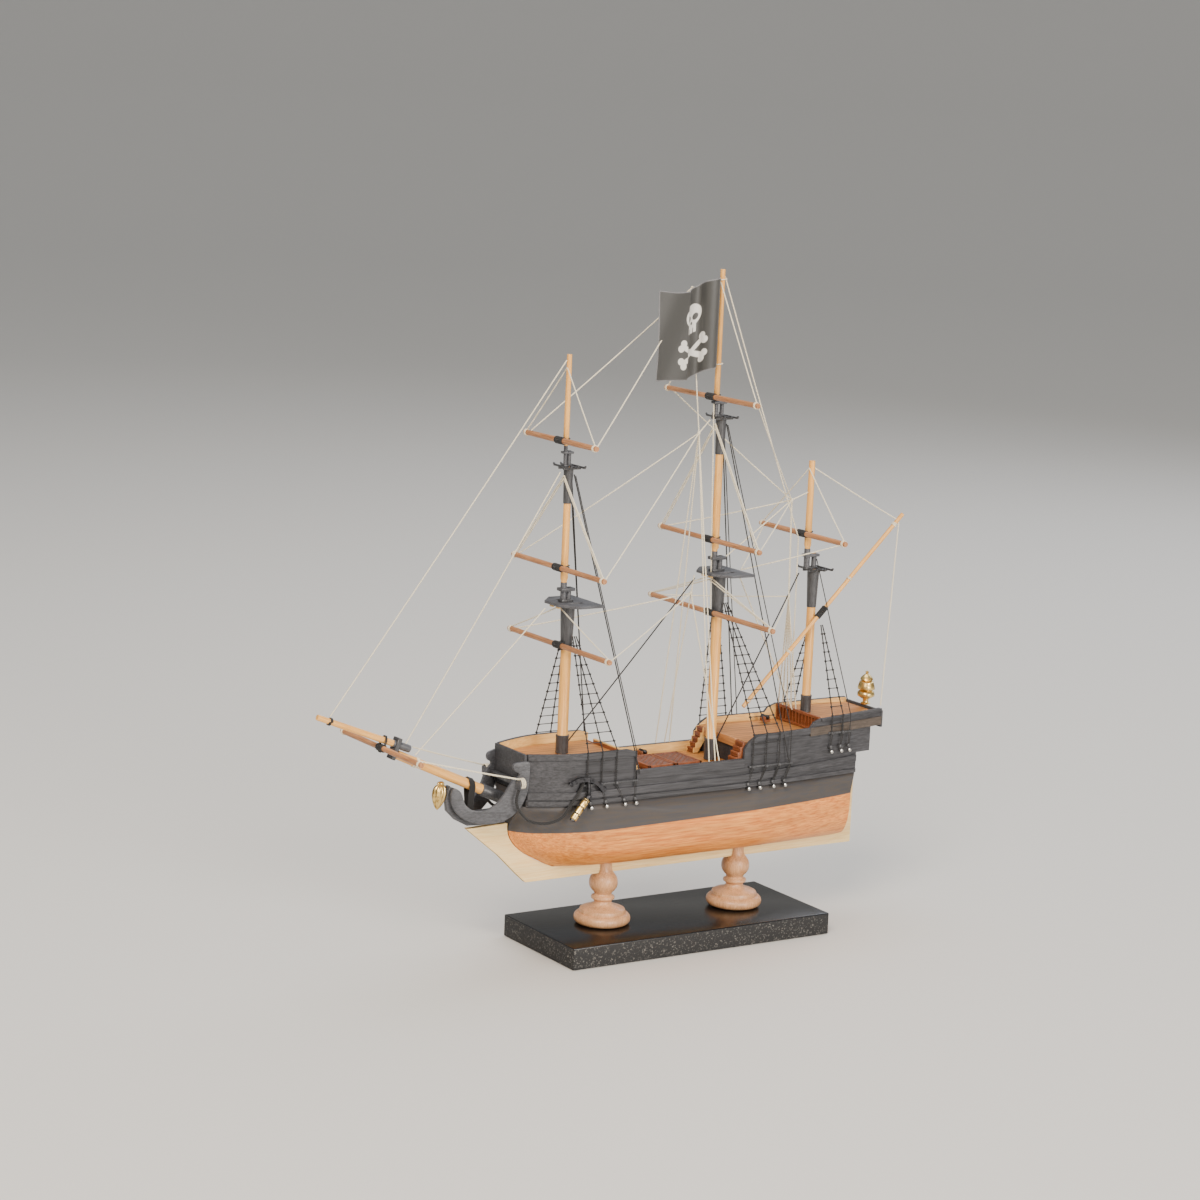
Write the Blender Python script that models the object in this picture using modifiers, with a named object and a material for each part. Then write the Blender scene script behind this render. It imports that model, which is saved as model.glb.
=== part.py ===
"""Wooden model sailing ship, three masts, standing on a board with two turned pedestals.

Lengths are in millimetres and are turned into metres by MM. The frame has its origin at the centre
of the board's underside, +X towards the stern, +Y to starboard and +Z up.
"""

import math

import bmesh
import bpy
from mathutils import Matrix, Vector

MM = 0.001
GAP = 0.3

# Overall sizes
BASE_LENGTH = 140.0
BASE_WIDTH = 60.0
BASE_HEIGHT = 10.0
HALF_BEAM = 21.0
MAIN_MAST_TOP = 305.8
FORE_MAST_TOP = 269.1
MIZZEN_MAST_TOP = 217.8

# Stand
PEDESTAL_X = 36.5
PEDESTAL_HEIGHT = 29.8
SLOT_DEPTH = 6.0

# Keel and hull
KEEL_THICKNESS = 3.0
KEEL_BOTTOM = 34.0
HULL_BOTTOM = 40.1
WATERLINE = 60.1
HULL_TOP = 78.0
BOW_X = -89.1
FOREFOOT_X = -65.5
TRANSOM_X = 91.0
COUNTER_X = 99.5
TAFFRAIL_X = 106.2
PANEL_BOTTOM = 72.0
PANEL_THICKNESS = 1.5
BEAKHEAD_X = -87.7
BEAKHEAD_HALF = 12.8
MAIN_DECK_Z = 81.0
FORECASTLE_DECK_Z = 91.0
QUARTER_DECK_Z = 92.8
POOP_DECK_Z = 98.9
TAFFRAIL_TOP = 100.0
FORECASTLE_BREAK_X = -37.5
QUARTER_BREAK_X = 25.0
POOP_BREAK_X = 69.0

# Spars
LOWER_MAST_RADIUS = 2.4
YARD_RADIUS = 1.35
FORE_X = (-61.8, -64.4, -66.3)
MAIN_X = (18.9, 15.7, 12.6)
MIZZEN_X = (72.2, 68.1)
BOWSPRIT_RADIUS = 2.35
BOWSPRIT_SLOPE = math.atan2(21.3, 47.1)
JIB_RADIUS = 1.5
JIB_SLOPE = math.radians(21.3)
NET_THICKNESS = 0.5

COLOURS = {
    "board": ((0.012, 0.012, 0.013), 0.25, 0.0),
    "beech": ((0.62, 0.42, 0.28), 0.5, 0.0),
    "plywood": ((0.72, 0.50, 0.28), 0.6, 0.0),
    "hull_wood": ((0.50, 0.20, 0.06), 0.4, 0.0),
    "black_wood": ((0.03, 0.028, 0.028), 0.55, 0.0),
    "deck_wood": ((0.66, 0.40, 0.18), 0.55, 0.0),
    "walnut": ((0.20, 0.07, 0.03), 0.5, 0.0),
    "mast_wood": ((0.72, 0.48, 0.20), 0.45, 0.0),
    "gold": ((0.75, 0.50, 0.18), 0.35, 1.0),
    "black_thread": ((0.02, 0.02, 0.02), 0.85, 0.0),
    "flag_cloth": ((0.015, 0.015, 0.017), 0.9, 0.0),
    "anchor_metal": ((0.02, 0.02, 0.022), 0.4, 0.6),
}


def clear_scene():
    """Remove every object of the open file."""
    for old in list(bpy.data.objects):
        bpy.data.objects.remove(old, do_unlink=True)


def make_material(name):
    """Return a Principled material with the named colour, roughness and metallic value."""
    found = bpy.data.materials.get(name)
    if found is not None:
        return found
    colour, roughness, metallic = COLOURS[name]
    material = bpy.data.materials.new(name)
    material.use_nodes = True
    shader = material.node_tree.nodes["Principled BSDF"]
    shader.inputs["Base Color"].default_value = (*colour, 1.0)
    shader.inputs["Roughness"].default_value = roughness
    shader.inputs["Metallic"].default_value = metallic
    return material


def part_collection():
    """Return the collection that holds the parts."""
    found = bpy.data.collections.get("model_sailing_ship")
    if found is None:
        found = bpy.data.collections.new("model_sailing_ship")
        bpy.context.scene.collection.children.link(found)
    return found


def add_part(name, data, material, matrix=None):
    """Link a mesh or curve as one named part with its own copy of a material."""
    part = bpy.data.objects.new(name, data)
    part_collection().objects.link(part)
    own = make_material(material).copy()
    own.name = name + "_" + material
    data.materials.clear()
    data.materials.append(own)
    if matrix is not None:
        part.matrix_world = matrix
    return part


def place(x, y, z, rotation=None):
    """Return the matrix of a position in millimetres and an optional rotation."""
    moved = Matrix.Translation(Vector((x, y, z)) * MM)
    if rotation is None:
        return moved
    return moved @ rotation.to_4x4()


def turn(axis, degrees):
    """Return a rotation about one of the main axes."""
    return Matrix.Rotation(math.radians(degrees), 3, axis)


def along(direction):
    """Return the rotation that turns +Z to a direction."""
    return Vector(direction).normalized().to_track_quat("Z", "Y").to_matrix()


def cube_mesh(name, size, centre=(0.0, 0.0, 0.0)):
    """Return a box mesh of a size about a centre, in millimetres."""
    work = bmesh.new()
    bmesh.ops.create_cube(work, size=1.0)
    for vertex in work.verts:
        vertex.co = Vector([(vertex.co[i] * size[i] + centre[i]) * MM for i in range(3)])
    mesh = bpy.data.meshes.new(name)
    work.to_mesh(mesh)
    work.free()
    return mesh


def box(name, size, centre, material, bevel=0.0):
    """Add a box part, with rounded edges if a bevel is given."""
    part = add_part(name, cube_mesh(name, size), material, place(*centre))
    if bevel > 0.0:
        edge = part.modifiers.new("round_edges", "BEVEL")
        edge.width = bevel * MM
        edge.segments = 2
    return part


def rod_mesh(name, radius, length, sides=16, top=None):
    """Return a cylinder or cone mesh centred on the origin along Z."""
    work = bmesh.new()
    end = radius if top is None else top
    bmesh.ops.create_cone(work, cap_ends=True, segments=sides, radius1=radius * MM,
                          radius2=end * MM, depth=length * MM)
    mesh = bpy.data.meshes.new(name)
    work.to_mesh(mesh)
    work.free()
    return mesh


def rod(name, start, end, radius, material, sides=16, top=None):
    """Add a straight rod between two points."""
    first = Vector(start)
    run = Vector(end) - first
    middle = first + run * 0.5
    data = rod_mesh(name, radius, run.length, sides, top)
    return add_part(name, data, material, place(*middle, rotation=along(run)))


def turned(name, profile, material, matrix, sides=24):
    """Add a turned part: (radius, height) points from top to bottom, swept about Z."""
    work = bmesh.new()
    points = [work.verts.new((radius * MM, 0.0, height * MM)) for radius, height in profile]
    for upper, lower in zip(points, points[1:]):
        work.edges.new((upper, lower))
    mesh = bpy.data.meshes.new(name)
    work.to_mesh(mesh)
    work.free()
    part = add_part(name, mesh, material, matrix)
    sweep = part.modifiers.new("sweep", "SCREW")
    sweep.steps = sides
    sweep.render_steps = sides
    sweep.use_merge_vertices = True
    sweep.merge_threshold = 0.00001
    return part


def outline_curve(name, loops, thickness):
    """Return a filled 2D curve with the given closed loops, extruded about its plane."""
    curve = bpy.data.curves.new(name, "CURVE")
    curve.dimensions = "2D"
    curve.fill_mode = "BOTH"
    curve.extrude = thickness * 0.5 * MM
    curve.resolution_u = 1
    curve.render_resolution_u = 0
    for loop in loops:
        spline = curve.splines.new("POLY")
        spline.points.add(len(loop) - 1)
        for point, (across, up) in zip(spline.points, loop):
            point.co = (across * MM, up * MM, 0.0, 1.0)
        spline.use_cyclic_u = True
    return curve


def plate(name, loops, thickness, material, matrix):
    """Add a flat plate cut to closed loops."""
    return add_part(name, outline_curve(name, loops, thickness), material, matrix)


def upright(x, y, z):
    """Return the matrix that stands a plate's outline in the X-Z plane."""
    return place(x, y, z, turn("X", 90.0))


def bake(part):
    """Turn a part into a welded plain mesh in world space and return it."""
    bpy.context.view_layer.update()
    graph = bpy.context.evaluated_depsgraph_get()
    mesh = bpy.data.meshes.new_from_object(part.evaluated_get(graph))
    mesh.transform(part.matrix_world)
    work = bmesh.new()
    work.from_mesh(mesh)
    bmesh.ops.remove_doubles(work, verts=work.verts, dist=0.000005)
    work.to_mesh(mesh)
    work.free()
    name = part.name
    bpy.data.objects.remove(part, do_unlink=True)
    solid = bpy.data.objects.new(name, mesh)
    part_collection().objects.link(solid)
    return solid


def combine(main, others, operation="UNION"):
    """Join other parts to the main one, or cut them out, and remove them."""
    solid = bake(main)
    for other in others:
        tool = bake(other)
        step = solid.modifiers.new("step", "BOOLEAN")
        step.operation = operation
        step.solver = "EXACT"
        step.object = tool
        solid = bake(solid)
        bpy.data.objects.remove(tool, do_unlink=True)
    return solid


def loft(name, rings, material, matrix=None):
    """Add a closed skin through rings of equal point counts, with a cap at each end."""
    work = bmesh.new()
    rows = [[work.verts.new(Vector(point) * MM) for point in ring] for ring in rings]
    count = len(rows[0])
    for low, high in zip(rows, rows[1:]):
        for i in range(count):
            j = (i + 1) % count
            work.faces.new((low[i], low[j], high[j], high[i]))
    work.faces.new(list(reversed(rows[0])))
    work.faces.new(rows[-1])
    bmesh.ops.recalc_face_normals(work, faces=work.faces)
    mesh = bpy.data.meshes.new(name)
    work.to_mesh(mesh)
    work.free()
    return add_part(name, mesh, material, matrix)


def mix(a, b, t):
    """Return the value a fraction t of the way from a to b."""
    return a + (b - a) * t


def smooth(t):
    """Return a soft step of t between 0 and 1."""
    t = min(max(t, 0.0), 1.0)
    return t * t * (3.0 - 2.0 * t)


def lower_half_breadth(x):
    """Half-breadth of the hull at the waterline."""
    if x < -42.0:
        t = min((-42.0 - x) / (-42.0 - BOW_X), 1.0)
        return max(HALF_BEAM * (1.0 - t * t) ** 0.6, 1.9)
    if x > 20.0:
        return HALF_BEAM - HALF_BEAM / 3.0 * min((x - 20.0) / 71.0, 1.3) ** 1.8
    return HALF_BEAM


def upper_half_breadth(x):
    """Half-breadth of the hull along the side panels."""
    if x < -62.0:
        t = (-62.0 - x) / (-62.0 - BEAKHEAD_X)
        return HALF_BEAM - (HALF_BEAM - BEAKHEAD_HALF) * min(t, 1.05) ** 1.6
    if x > 20.0:
        return HALF_BEAM - HALF_BEAM / 3.0 * ((x - 20.0) / 87.0) ** 1.8
    return HALF_BEAM


def plan_outline(first_x, last_x, inset, steps=24):
    """Outline of a deck between two stations, set in from the side panels' outer face."""
    xs = [mix(first_x, last_x, i / steps) for i in range(steps + 1)]
    port = [(x, -(upper_half_breadth(x) - inset)) for x in xs]
    starboard = [(x, upper_half_breadth(x) - inset) for x in reversed(xs)]
    return port + starboard


def deck(name, first_x, last_x, bottom, top):
    """Add a deck block between the side panels."""
    outline = plan_outline(first_x, last_x, PANEL_THICKNESS + GAP)
    middle = (bottom + top) * 0.5
    return plate(name, [outline], top - bottom, "deck_wood", place(0.0, 0.0, middle))


# ---------------------------------------------------------------- stand


def make_stand():
    """Board and the two slotted pedestals."""
    box("base_board", (BASE_LENGTH, BASE_WIDTH, BASE_HEIGHT), (0.0, 0.0, BASE_HEIGHT * 0.5),
        "board", bevel=0.5)
    top = PEDESTAL_HEIGHT
    profile = [(0.0, top), (3.4, top), (3.6, top - 0.5), (3.5, top - 4.0), (3.9, top - 5.6),
               (5.6, top - 7.2), (6.5, top - 9.2), (6.5, top - 11.8), (5.4, top - 14.0),
               (4.0, top - 15.2), (3.8, top - 16.2), (5.3, top - 17.0), (5.4, top - 18.0),
               (4.0, top - 18.9), (4.2, top - 21.0), (8.6, top - 22.0), (10.4, top - 22.8),
               (10.4, top - 24.2), (12.2, top - 24.9), (12.9, top - 26.2), (12.9, top - 28.0),
               (12.0, top - 29.2), (10.8, GAP), (0.0, GAP)]
    for name, x in (("pedestal_fore", -PEDESTAL_X), ("pedestal_aft", PEDESTAL_X)):
        body = turned(name, profile, "beech", place(x, 0.0, BASE_HEIGHT), sides=32)
        slot = add_part("slot", cube_mesh("slot", (20.0, KEEL_THICKNESS + 2.0 * GAP, 12.0)),
                        "beech", place(x, 0.0, BASE_HEIGHT + top - SLOT_DEPTH + 6.0))
        combine(body, [slot], "DIFFERENCE")


# ---------------------------------------------------------------- hull


def make_keel():
    """Plywood keel with forefoot, head knee and sternpost."""
    inner = HULL_BOTTOM - GAP
    front = BOW_X - GAP
    outline = [(-78.9, KEEL_BOTTOM), (101.7, KEEL_BOTTOM), (101.7, 81.0), (TRANSOM_X + GAP, 81.0),
               (TRANSOM_X + GAP, inner), (bow_station(inner) - GAP - 0.1, inner)]
    steps = 10
    for i in range(1, steps + 1):
        t = i / steps
        height = mix(inner, 62.0, t)
        outline.append((bow_station(height) - GAP - 0.1, height))
    outline += [(front, 62.2), (-110.2, 61.6), (-93.3, 47.8), (-84.0, 38.6)]
    plate("keel", [outline], KEEL_THICKNESS, "plywood", upright(0.0, 0.0, 0.0))


def bow_station(z):
    """Position of the stem at a height."""
    if z >= WATERLINE:
        return BOW_X
    t = (WATERLINE - z) / (WATERLINE - HULL_BOTTOM)
    return mix(BOW_X, FOREFOOT_X, t ** 2.1)


def hull_ring(z, fullness, inset, stations=36):
    """Plan outline of the hull block at a height."""
    first = bow_station(z)
    last = TRANSOM_X - (2.0 if z < HULL_BOTTOM + 1.0 else 0.0)
    blend = smooth((z - WATERLINE) / 14.0)
    ring = []
    for i in range(stations + 1):
        x = mix(first, last, 0.5 - 0.5 * math.cos(math.pi * i / stations))
        low = lower_half_breadth(BOW_X + (x - first) * (TRANSOM_X - BOW_X) / (last - first))
        width = mix(low, upper_half_breadth(x), blend) * fullness - inset
        ring.append((x, -max(width, 1.7), z))
    return ring + [(x, -y, z) for x, y, z in reversed(ring)]


def make_hull_block():
    """One carved block: round bilge, full bow, flat transom and a ledge under the side panels."""
    rings = []
    for i in range(11):
        t = i / 10.0
        fullness = 0.42 + 0.58 * (1.0 - (1.0 - t) ** 2.4) ** 0.75
        rings.append(hull_ring(mix(HULL_BOTTOM, WATERLINE, t ** 1.2), fullness, 0.3 * t))
    ledge = PANEL_BOTTOM - GAP
    for z in (63.0, 66.0, 69.0):
        rings.append(hull_ring(z, 1.0, 0.3))
    rings.append(hull_ring(ledge, 1.0, 0.3))
    rings.append(hull_ring(ledge + 0.05, 1.0, PANEL_THICKNESS + GAP))
    rings.append(hull_ring(HULL_TOP, 1.0, PANEL_THICKNESS + GAP))
    loft("hull_block", rings, "hull_wood")


def rail_height(x):
    """Top edge of the side panels: forecastle, waist, quarterdeck and poop."""
    steps = [(BEAKHEAD_X, 95.5), (-40.0, 95.5), (-35.6, 94.3), (-35.5, 85.6),
             (23.3, 85.6), (23.4, 90.0), (26.0, 93.2), (30.0, 95.8), (61.5, 96.2), (63.5, 98.6),
             (67.6, 100.0), (TAFFRAIL_X, 101.2)]
    for (x0, z0), (x1, z1) in zip(steps, steps[1:]):
        if x <= x1:
            return mix(z0, z1, max(x - x0, 0.0) / (x1 - x0))
    return steps[-1][1]


def panel_bottom(x):
    """Lower edge of the side panels, which steps up under the stern gallery."""
    if x <= TRANSOM_X:
        return PANEL_BOTTOM
    if x <= COUNTER_X:
        return 81.7
    return 93.2


def panel_stations():
    """Stations along a side panel, close together where its edges step."""
    marks = [BEAKHEAD_X + 0.4, -85.0, -82.0, -79.0, -76.0, -73.0, -70.0, -67.0, -64.5, -62.0,
             -53.0, -44.0, -40.0, -35.6, -35.5, -20.0, 0.0, 20.0, 23.3, 23.4, 26.0, 30.0, 40.0, 50.0, 61.5, 63.5, 67.6,
             76.0, 84.0, TRANSOM_X, TRANSOM_X + 0.01, 95.0, COUNTER_X, COUNTER_X + 0.01, 103.0,
             TAFFRAIL_X - 0.6]
    return marks


def make_side_panels():
    """The two thin sides that stand above the hull block and form the bulwarks."""
    for name, side in (("side_panel_port", -1.0), ("side_panel_starboard", 1.0)):
        rings = []
        for x in panel_stations():
            outer = side * upper_half_breadth(x)
            inner = side * (upper_half_breadth(x) - PANEL_THICKNESS)
            low = panel_bottom(x)
            high = rail_height(x)
            rings.append([(x, outer, low), (x, outer, high), (x, inner, high), (x, inner, low)])
        loft(name, rings, "black_wood")


def make_decks():
    """Main deck, the raised decks fore and aft, and the boards that close the ends."""
    ends = GAP * 0.5
    low = HULL_TOP + GAP
    deck("forecastle_deck", BEAKHEAD_X + 0.6, FORECASTLE_BREAK_X - ends, low, FORECASTLE_DECK_Z)
    deck("main_deck", FORECASTLE_BREAK_X + ends, QUARTER_BREAK_X - ends, low, MAIN_DECK_Z)
    deck("quarterdeck", QUARTER_BREAK_X + ends, TRANSOM_X - ends, low, QUARTER_DECK_Z)
    deck("poop_deck", POOP_BREAK_X, TAFFRAIL_X - 0.6 - GAP, QUARTER_DECK_Z + GAP, POOP_DECK_Z)
    outline = plan_outline(TRANSOM_X + ends + 0.15, COUNTER_X, PANEL_THICKNESS + GAP, steps=6)
    bottom = 81.0 + GAP
    plate("stern_gallery", [outline], QUARTER_DECK_Z - bottom, "black_wood",
          place(0.0, 0.0, (bottom + QUARTER_DECK_Z) * 0.5))
    height = 95.5 - HULL_TOP - GAP
    box("beakhead_bulkhead", (1.4, BEAKHEAD_HALF * 2.0, height),
        (BEAKHEAD_X - 0.6, 0.0, 95.5 - height * 0.5), "black_wood")
    width = upper_half_breadth(TAFFRAIL_X) * 2.0
    tall = 8.0
    box("taffrail", (1.4, width, tall), (TAFFRAIL_X + 0.4, 0.0, TAFFRAIL_TOP - tall * 0.5),
        "black_wood", bevel=0.3)


def arc(centre, radius, first, last, steps):
    """Points of an arc in a plane, angles in degrees."""
    result = []
    for i in range(steps + 1):
        angle = math.radians(mix(first, last, i / steps))
        result.append((centre[0] + radius * math.cos(angle), centre[1] + radius * math.sin(angle)))
    return result


def make_head():
    """Knee, two curved head rails with knobs, figurehead and the cathead beam."""
    outer = [(-90.6, 62.6), (-104.0, 62.6), (-110.0, 63.0), (-116.0, 66.2), (-120.4, 70.6),
             (-121.2, 76.5), (-119.4, 81.4), (-116.6, 80.4), (-116.2, 75.5), (-112.6, 71.6),
             (-106.0, 69.2), (-98.0, 69.4), (-90.6, 70.4)]
    plate("head_knee", [outer], 2.4, "black_wood", upright(0.0, 0.0, 0.0))
    route = [(-91.0, 12.0, 91.5, 2.6), (-91.0, 12.2, 87.5, 1.6), (-91.2, 12.0, 85.6, 2.3),
             (-92.0, 11.6, 78.0, 4.0), (-94.0, 10.6, 72.6, 4.8), (-98.2, 8.8, 69.4, 4.4),
             (-103.5, 6.6, 67.4, 3.8), (-109.0, 4.6, 67.0, 3.2), (-113.4, 3.2, 68.4, 2.8),
             (-116.6, 2.5, 71.6, 2.6), (-118.0, 2.3, 75.6, 2.2), (-118.2, 2.2, 79.2, 1.6)]
    for name, side in (("head_rail_port", -1.0), ("head_rail_starboard", 1.0)):
        rings = []
        for i, (x, y, z, half) in enumerate(route):
            before = route[max(i - 1, 0)]
            after = route[min(i + 1, len(route) - 1)]
            run = Vector((after[0] - before[0], 0.0, after[2] - before[2])).normalized()
            normal = Vector((-run.z, 0.0, run.x))
            centre = Vector((x, side * y, z))
            lift = normal * half * 0.55
            out = Vector((0.0, 0.7, 0.0))
            rings.append([centre - lift - out, centre + lift - out, centre + lift + out,
                          centre - lift + out])
        loft(name, rings, "black_wood")
    profile = [(0.0, 12.6), (1.2, 12.4), (1.9, 11.4), (1.9, 10.2), (1.3, 9.2), (1.5, 8.4),
               (2.6, 7.4), (2.9, 5.6), (2.3, 4.0), (2.6, 2.8), (2.0, 1.2), (0.9, 0.0), (0.0, 0.0)]
    turned("figurehead", profile, "gold", place(-123.9 - 0.4, 0.0, 71.4), sides=16)
    beam = box("cathead_beam", (2.4, 21.0, 2.4), (-90.9, 0.0, 82.6), "black_wood")
    arms = [box("arm", (7.0, 2.6, 2.6), (-94.2, side * 9.2, 82.6), "black_wood")
            for side in (-1.0, 1.0)]
    solid = combine(beam, arms)
    solid.data.materials.clear()
    solid.data.materials.append(make_material("black_wood"))


def make_anchors():
    """Two anchors hung flat against the bow panels, arms uppermost and shank pointing down."""
    for name, side in (("anchor_port", -1.0), ("anchor_starboard", 1.0)):
        y = side * (HALF_BEAM + 2.6)
        centre = (-64.76, 72.35)
        arms = arc(centre, 13.4, 28.7, 122.2, 12) + arc(centre, 11.4, 122.2, 28.7, 12)
        body = plate(name, [arms], 1.3, "anchor_metal", upright(0.0, y, 0.0))
        shank = rod("shank", (-62.2, y, 85.0), (-61.5, y, 77.0), 0.8, "anchor_metal", sides=12)
        stock = rod("stock", (-61.3, y, 77.3), (-70.0, y, 66.6), 1.2, "anchor_metal", sides=12)
        solid = combine(body, [shank, stock])
        solid.data.materials.clear()
        solid.data.materials.append(make_material("anchor_metal"))


# ---------------------------------------------------------------- deck fittings


def stair(name, foot_x, deck_z, top_z, run, y, width, rise_aft):
    """Add a ladder of steps: a saw-tooth side outline as wide as the treads."""
    count = 5
    way = 1.0 if rise_aft else -1.0
    high = top_z - deck_z
    points = [(0.0, 0.0)]
    for i in range(count):
        points.append((way * run * i / count, high * (i + 1) / count))
        points.append((way * run * (i + 1) / count, high * (i + 1) / count))
    points.append((way * run, high * 0.55))
    points.append((way * run * 0.35, 0.0))
    plate(name, [points], width, "walnut", upright(foot_x, y, deck_z))


def make_fittings():
    """Ladders, balustrade and hatch gratings."""
    run = 6.0
    step = MAIN_DECK_Z + GAP
    y = HALF_BEAM - PANEL_THICKNESS - GAP - 0.3 - 3.0
    foot = QUARTER_BREAK_X - GAP - run
    stair("quarterdeck_ladder_port", foot, step, QUARTER_DECK_Z, run, -y, 6.0, True)
    stair("quarterdeck_ladder_starboard", foot, step, QUARTER_DECK_Z, run, y, 6.0, True)
    foot = FORECASTLE_BREAK_X + GAP + run
    stair("forecastle_ladder_port", foot, step, FORECASTLE_DECK_Z, run, -y, 6.0, False)
    stair("forecastle_ladder_starboard", foot, step, FORECASTLE_DECK_Z, run, y, 6.0, False)
    width = (upper_half_breadth(POOP_BREAK_X) - PANEL_THICKNESS - GAP) * 2.0
    low = QUARTER_DECK_Z + GAP
    high = POOP_DECK_Z + 1.5
    bars = 13
    frame = [(-width / 2.0, low), (width / 2.0, low), (width / 2.0, high), (-width / 2.0, high)]
    loops = [frame]
    pitch = (width - 0.8) / bars
    for i in range(bars):
        left = -width / 2.0 + 0.8 + pitch * i
        loops.append([(left, low + 1.0), (left, high - 1.2), (left + pitch - 0.8, high - 1.2),
                      (left + pitch - 0.8, low + 1.0)])
    stand = turn("Z", 90.0) @ turn("X", 90.0)
    plate("poop_balustrade", loops, 1.2, "walnut",
          place(POOP_BREAK_X - 0.6 - GAP, 0.0, 0.0, stand))
    low = MAIN_DECK_Z + GAP
    grating = box("hatch_gratings", (29.0, 21.0, 1.6), (-7.0, 0.0, low + 0.8), "walnut")
    fore = box("fore_hatch", (13.8, 20.0, 1.4), (-14.2, 0.0, low + 2.1), "walnut")
    aft = box("aft_hatch", (13.8, 20.0, 1.4), (0.2, 0.0, low + 2.1), "walnut")
    solid = combine(grating, [fore, aft])
    solid.data.materials.append(make_material("walnut"))
    tiers = [(0.0, 15.9), (0.7, 15.5), (0.7, 14.6), (2.2, 13.5), (3.2, 11.9), (2.4, 11.3),
             (3.4, 10.8), (4.3, 7.9), (4.3, 7.0), (3.0, 6.6), (4.2, 5.9), (4.2, 4.2), (2.6, 3.3),
             (1.3, 2.6), (1.3, 1.1), (2.4, 0.6), (2.4, 0.0), (0.0, 0.0)]
    turned("stern_lantern", tiers, "gold", place(TAFFRAIL_X + 1.2, 0.0, TAFFRAIL_TOP + GAP), sides=20)


# ---------------------------------------------------------------- masts


def ring_plate(name, half_length, half_width, hole, thickness, x, z, hole_x):
    """Add a broad platform with cut front corners and a round hole for the mast head."""
    corner = half_width * 0.45
    edge = [(-half_length, -corner), (-half_length * 0.3, -half_width), (half_length, -half_width),
            (half_length, half_width), (-half_length * 0.3, half_width), (-half_length, corner)]
    inner = arc((hole_x, 0.0), hole, 360.0, 22.5, 15)
    return plate(name, [edge, inner], thickness, "black_wood", place(x, 0.0, z))


def lower_mast(name, x, foot, collar, head_top, radius):
    """Add a lower mast with a foot band, a collar and a narrow head behind the topmast."""
    head = 1.1
    profile = [(0.0, head_top), (head, head_top), (head, collar + 14.0),
               (radius * 1.25, collar + 13.0), (radius * 0.95, collar + 1.0),
               (radius, collar - 1.0), (radius, foot + 8.0), (radius * 1.18, foot + 7.6),
               (radius * 1.18, foot), (0.0, foot)]
    turned(name, profile, "mast_wood", place(x, 0.0, 0.0), sides=20)


def topmast(name, x, foot, shoulder, collar, head_top, radius):
    """Add a topmast: thin heel ahead of the lower head, full spar, thin head."""
    profile = [(0.0, head_top), (0.8, head_top), (0.8, collar + 12.0),
               (radius * 1.15, collar + 11.0), (radius * 0.9, collar + 1.0),
               (radius * 0.94, collar - 1.0), (radius, shoulder + 1.0), (1.3, shoulder),
               (1.3, foot), (0.0, foot)]
    turned(name, profile, "mast_wood", place(x, 0.0, 0.0), sides=16)


def topgallant(name, x, foot, shoulder, top, radius):
    """Add the highest spar of a mast, which stands ahead of the spar below it."""
    profile = [(0.0, top), (radius * 0.85, top), (radius, shoulder + 1.0), (0.75, shoulder),
               (0.75, foot), (0.0, foot)]
    turned(name, profile, "mast_wood", place(x, 0.0, 0.0), sides=16)


def mast_level(height, foot, designed, top):
    """Return a height on a mast, moved with the mast's top."""
    return foot + (height - foot) * (top - foot) / (designed - foot)


def make_mast(prefix, xs, foot, designed, top, radii, heights, platform):
    """Add one mast of two or three spars, with its heights scaled from the designed top."""
    levels = [mast_level(height, foot, designed, top) for height in heights]
    lower_mast(prefix + "_lower_mast", xs[0], foot, levels[0], levels[2], radii[0])
    half_length, half_width = platform
    plate_name = "_top" if len(xs) == 3 else "_crosstrees"
    ring_plate(prefix + plate_name, half_length, half_width, 1.1 + GAP, 1.4, xs[0] + 1.0,
               levels[1], -1.0)
    heel = levels[1] + 0.7 + GAP
    if len(xs) == 2:
        profile = [(0.0, top), (radii[1] * 0.85, top), (radii[1], levels[2] + 4.0),
                   (1.3, levels[2] + 3.0), (1.3, heel), (0.0, heel)]
        turned(prefix + "_topmast", profile, "mast_wood", place(xs[1], 0.0, 0.0), sides=16)
        return
    topmast(prefix + "_topmast", xs[1], heel, levels[2] + 3.0, levels[3], levels[5], radii[1])
    ring_plate(prefix + "_crosstrees", 4.5, 7.5, 0.8 + GAP, 1.2, xs[1] + 0.5, levels[4], -0.5)
    foot_z = levels[4] + 0.6 + GAP
    topgallant(prefix + "_topgallant_mast", xs[2], foot_z, levels[5] + 2.0, top, radii[2])


def fore_level(height):
    """Return a height on the fore mast."""
    return mast_level(height, FORECASTLE_DECK_Z + GAP, 269.1, FORE_MAST_TOP)


def main_level(height):
    """Return a height on the main mast."""
    return mast_level(height, MAIN_DECK_Z + GAP, 305.8, MAIN_MAST_TOP)


def mizzen_level(height):
    """Return a height on the mizzen mast."""
    return mast_level(height, POOP_DECK_Z + GAP, 217.8, MIZZEN_MAST_TOP)


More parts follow.
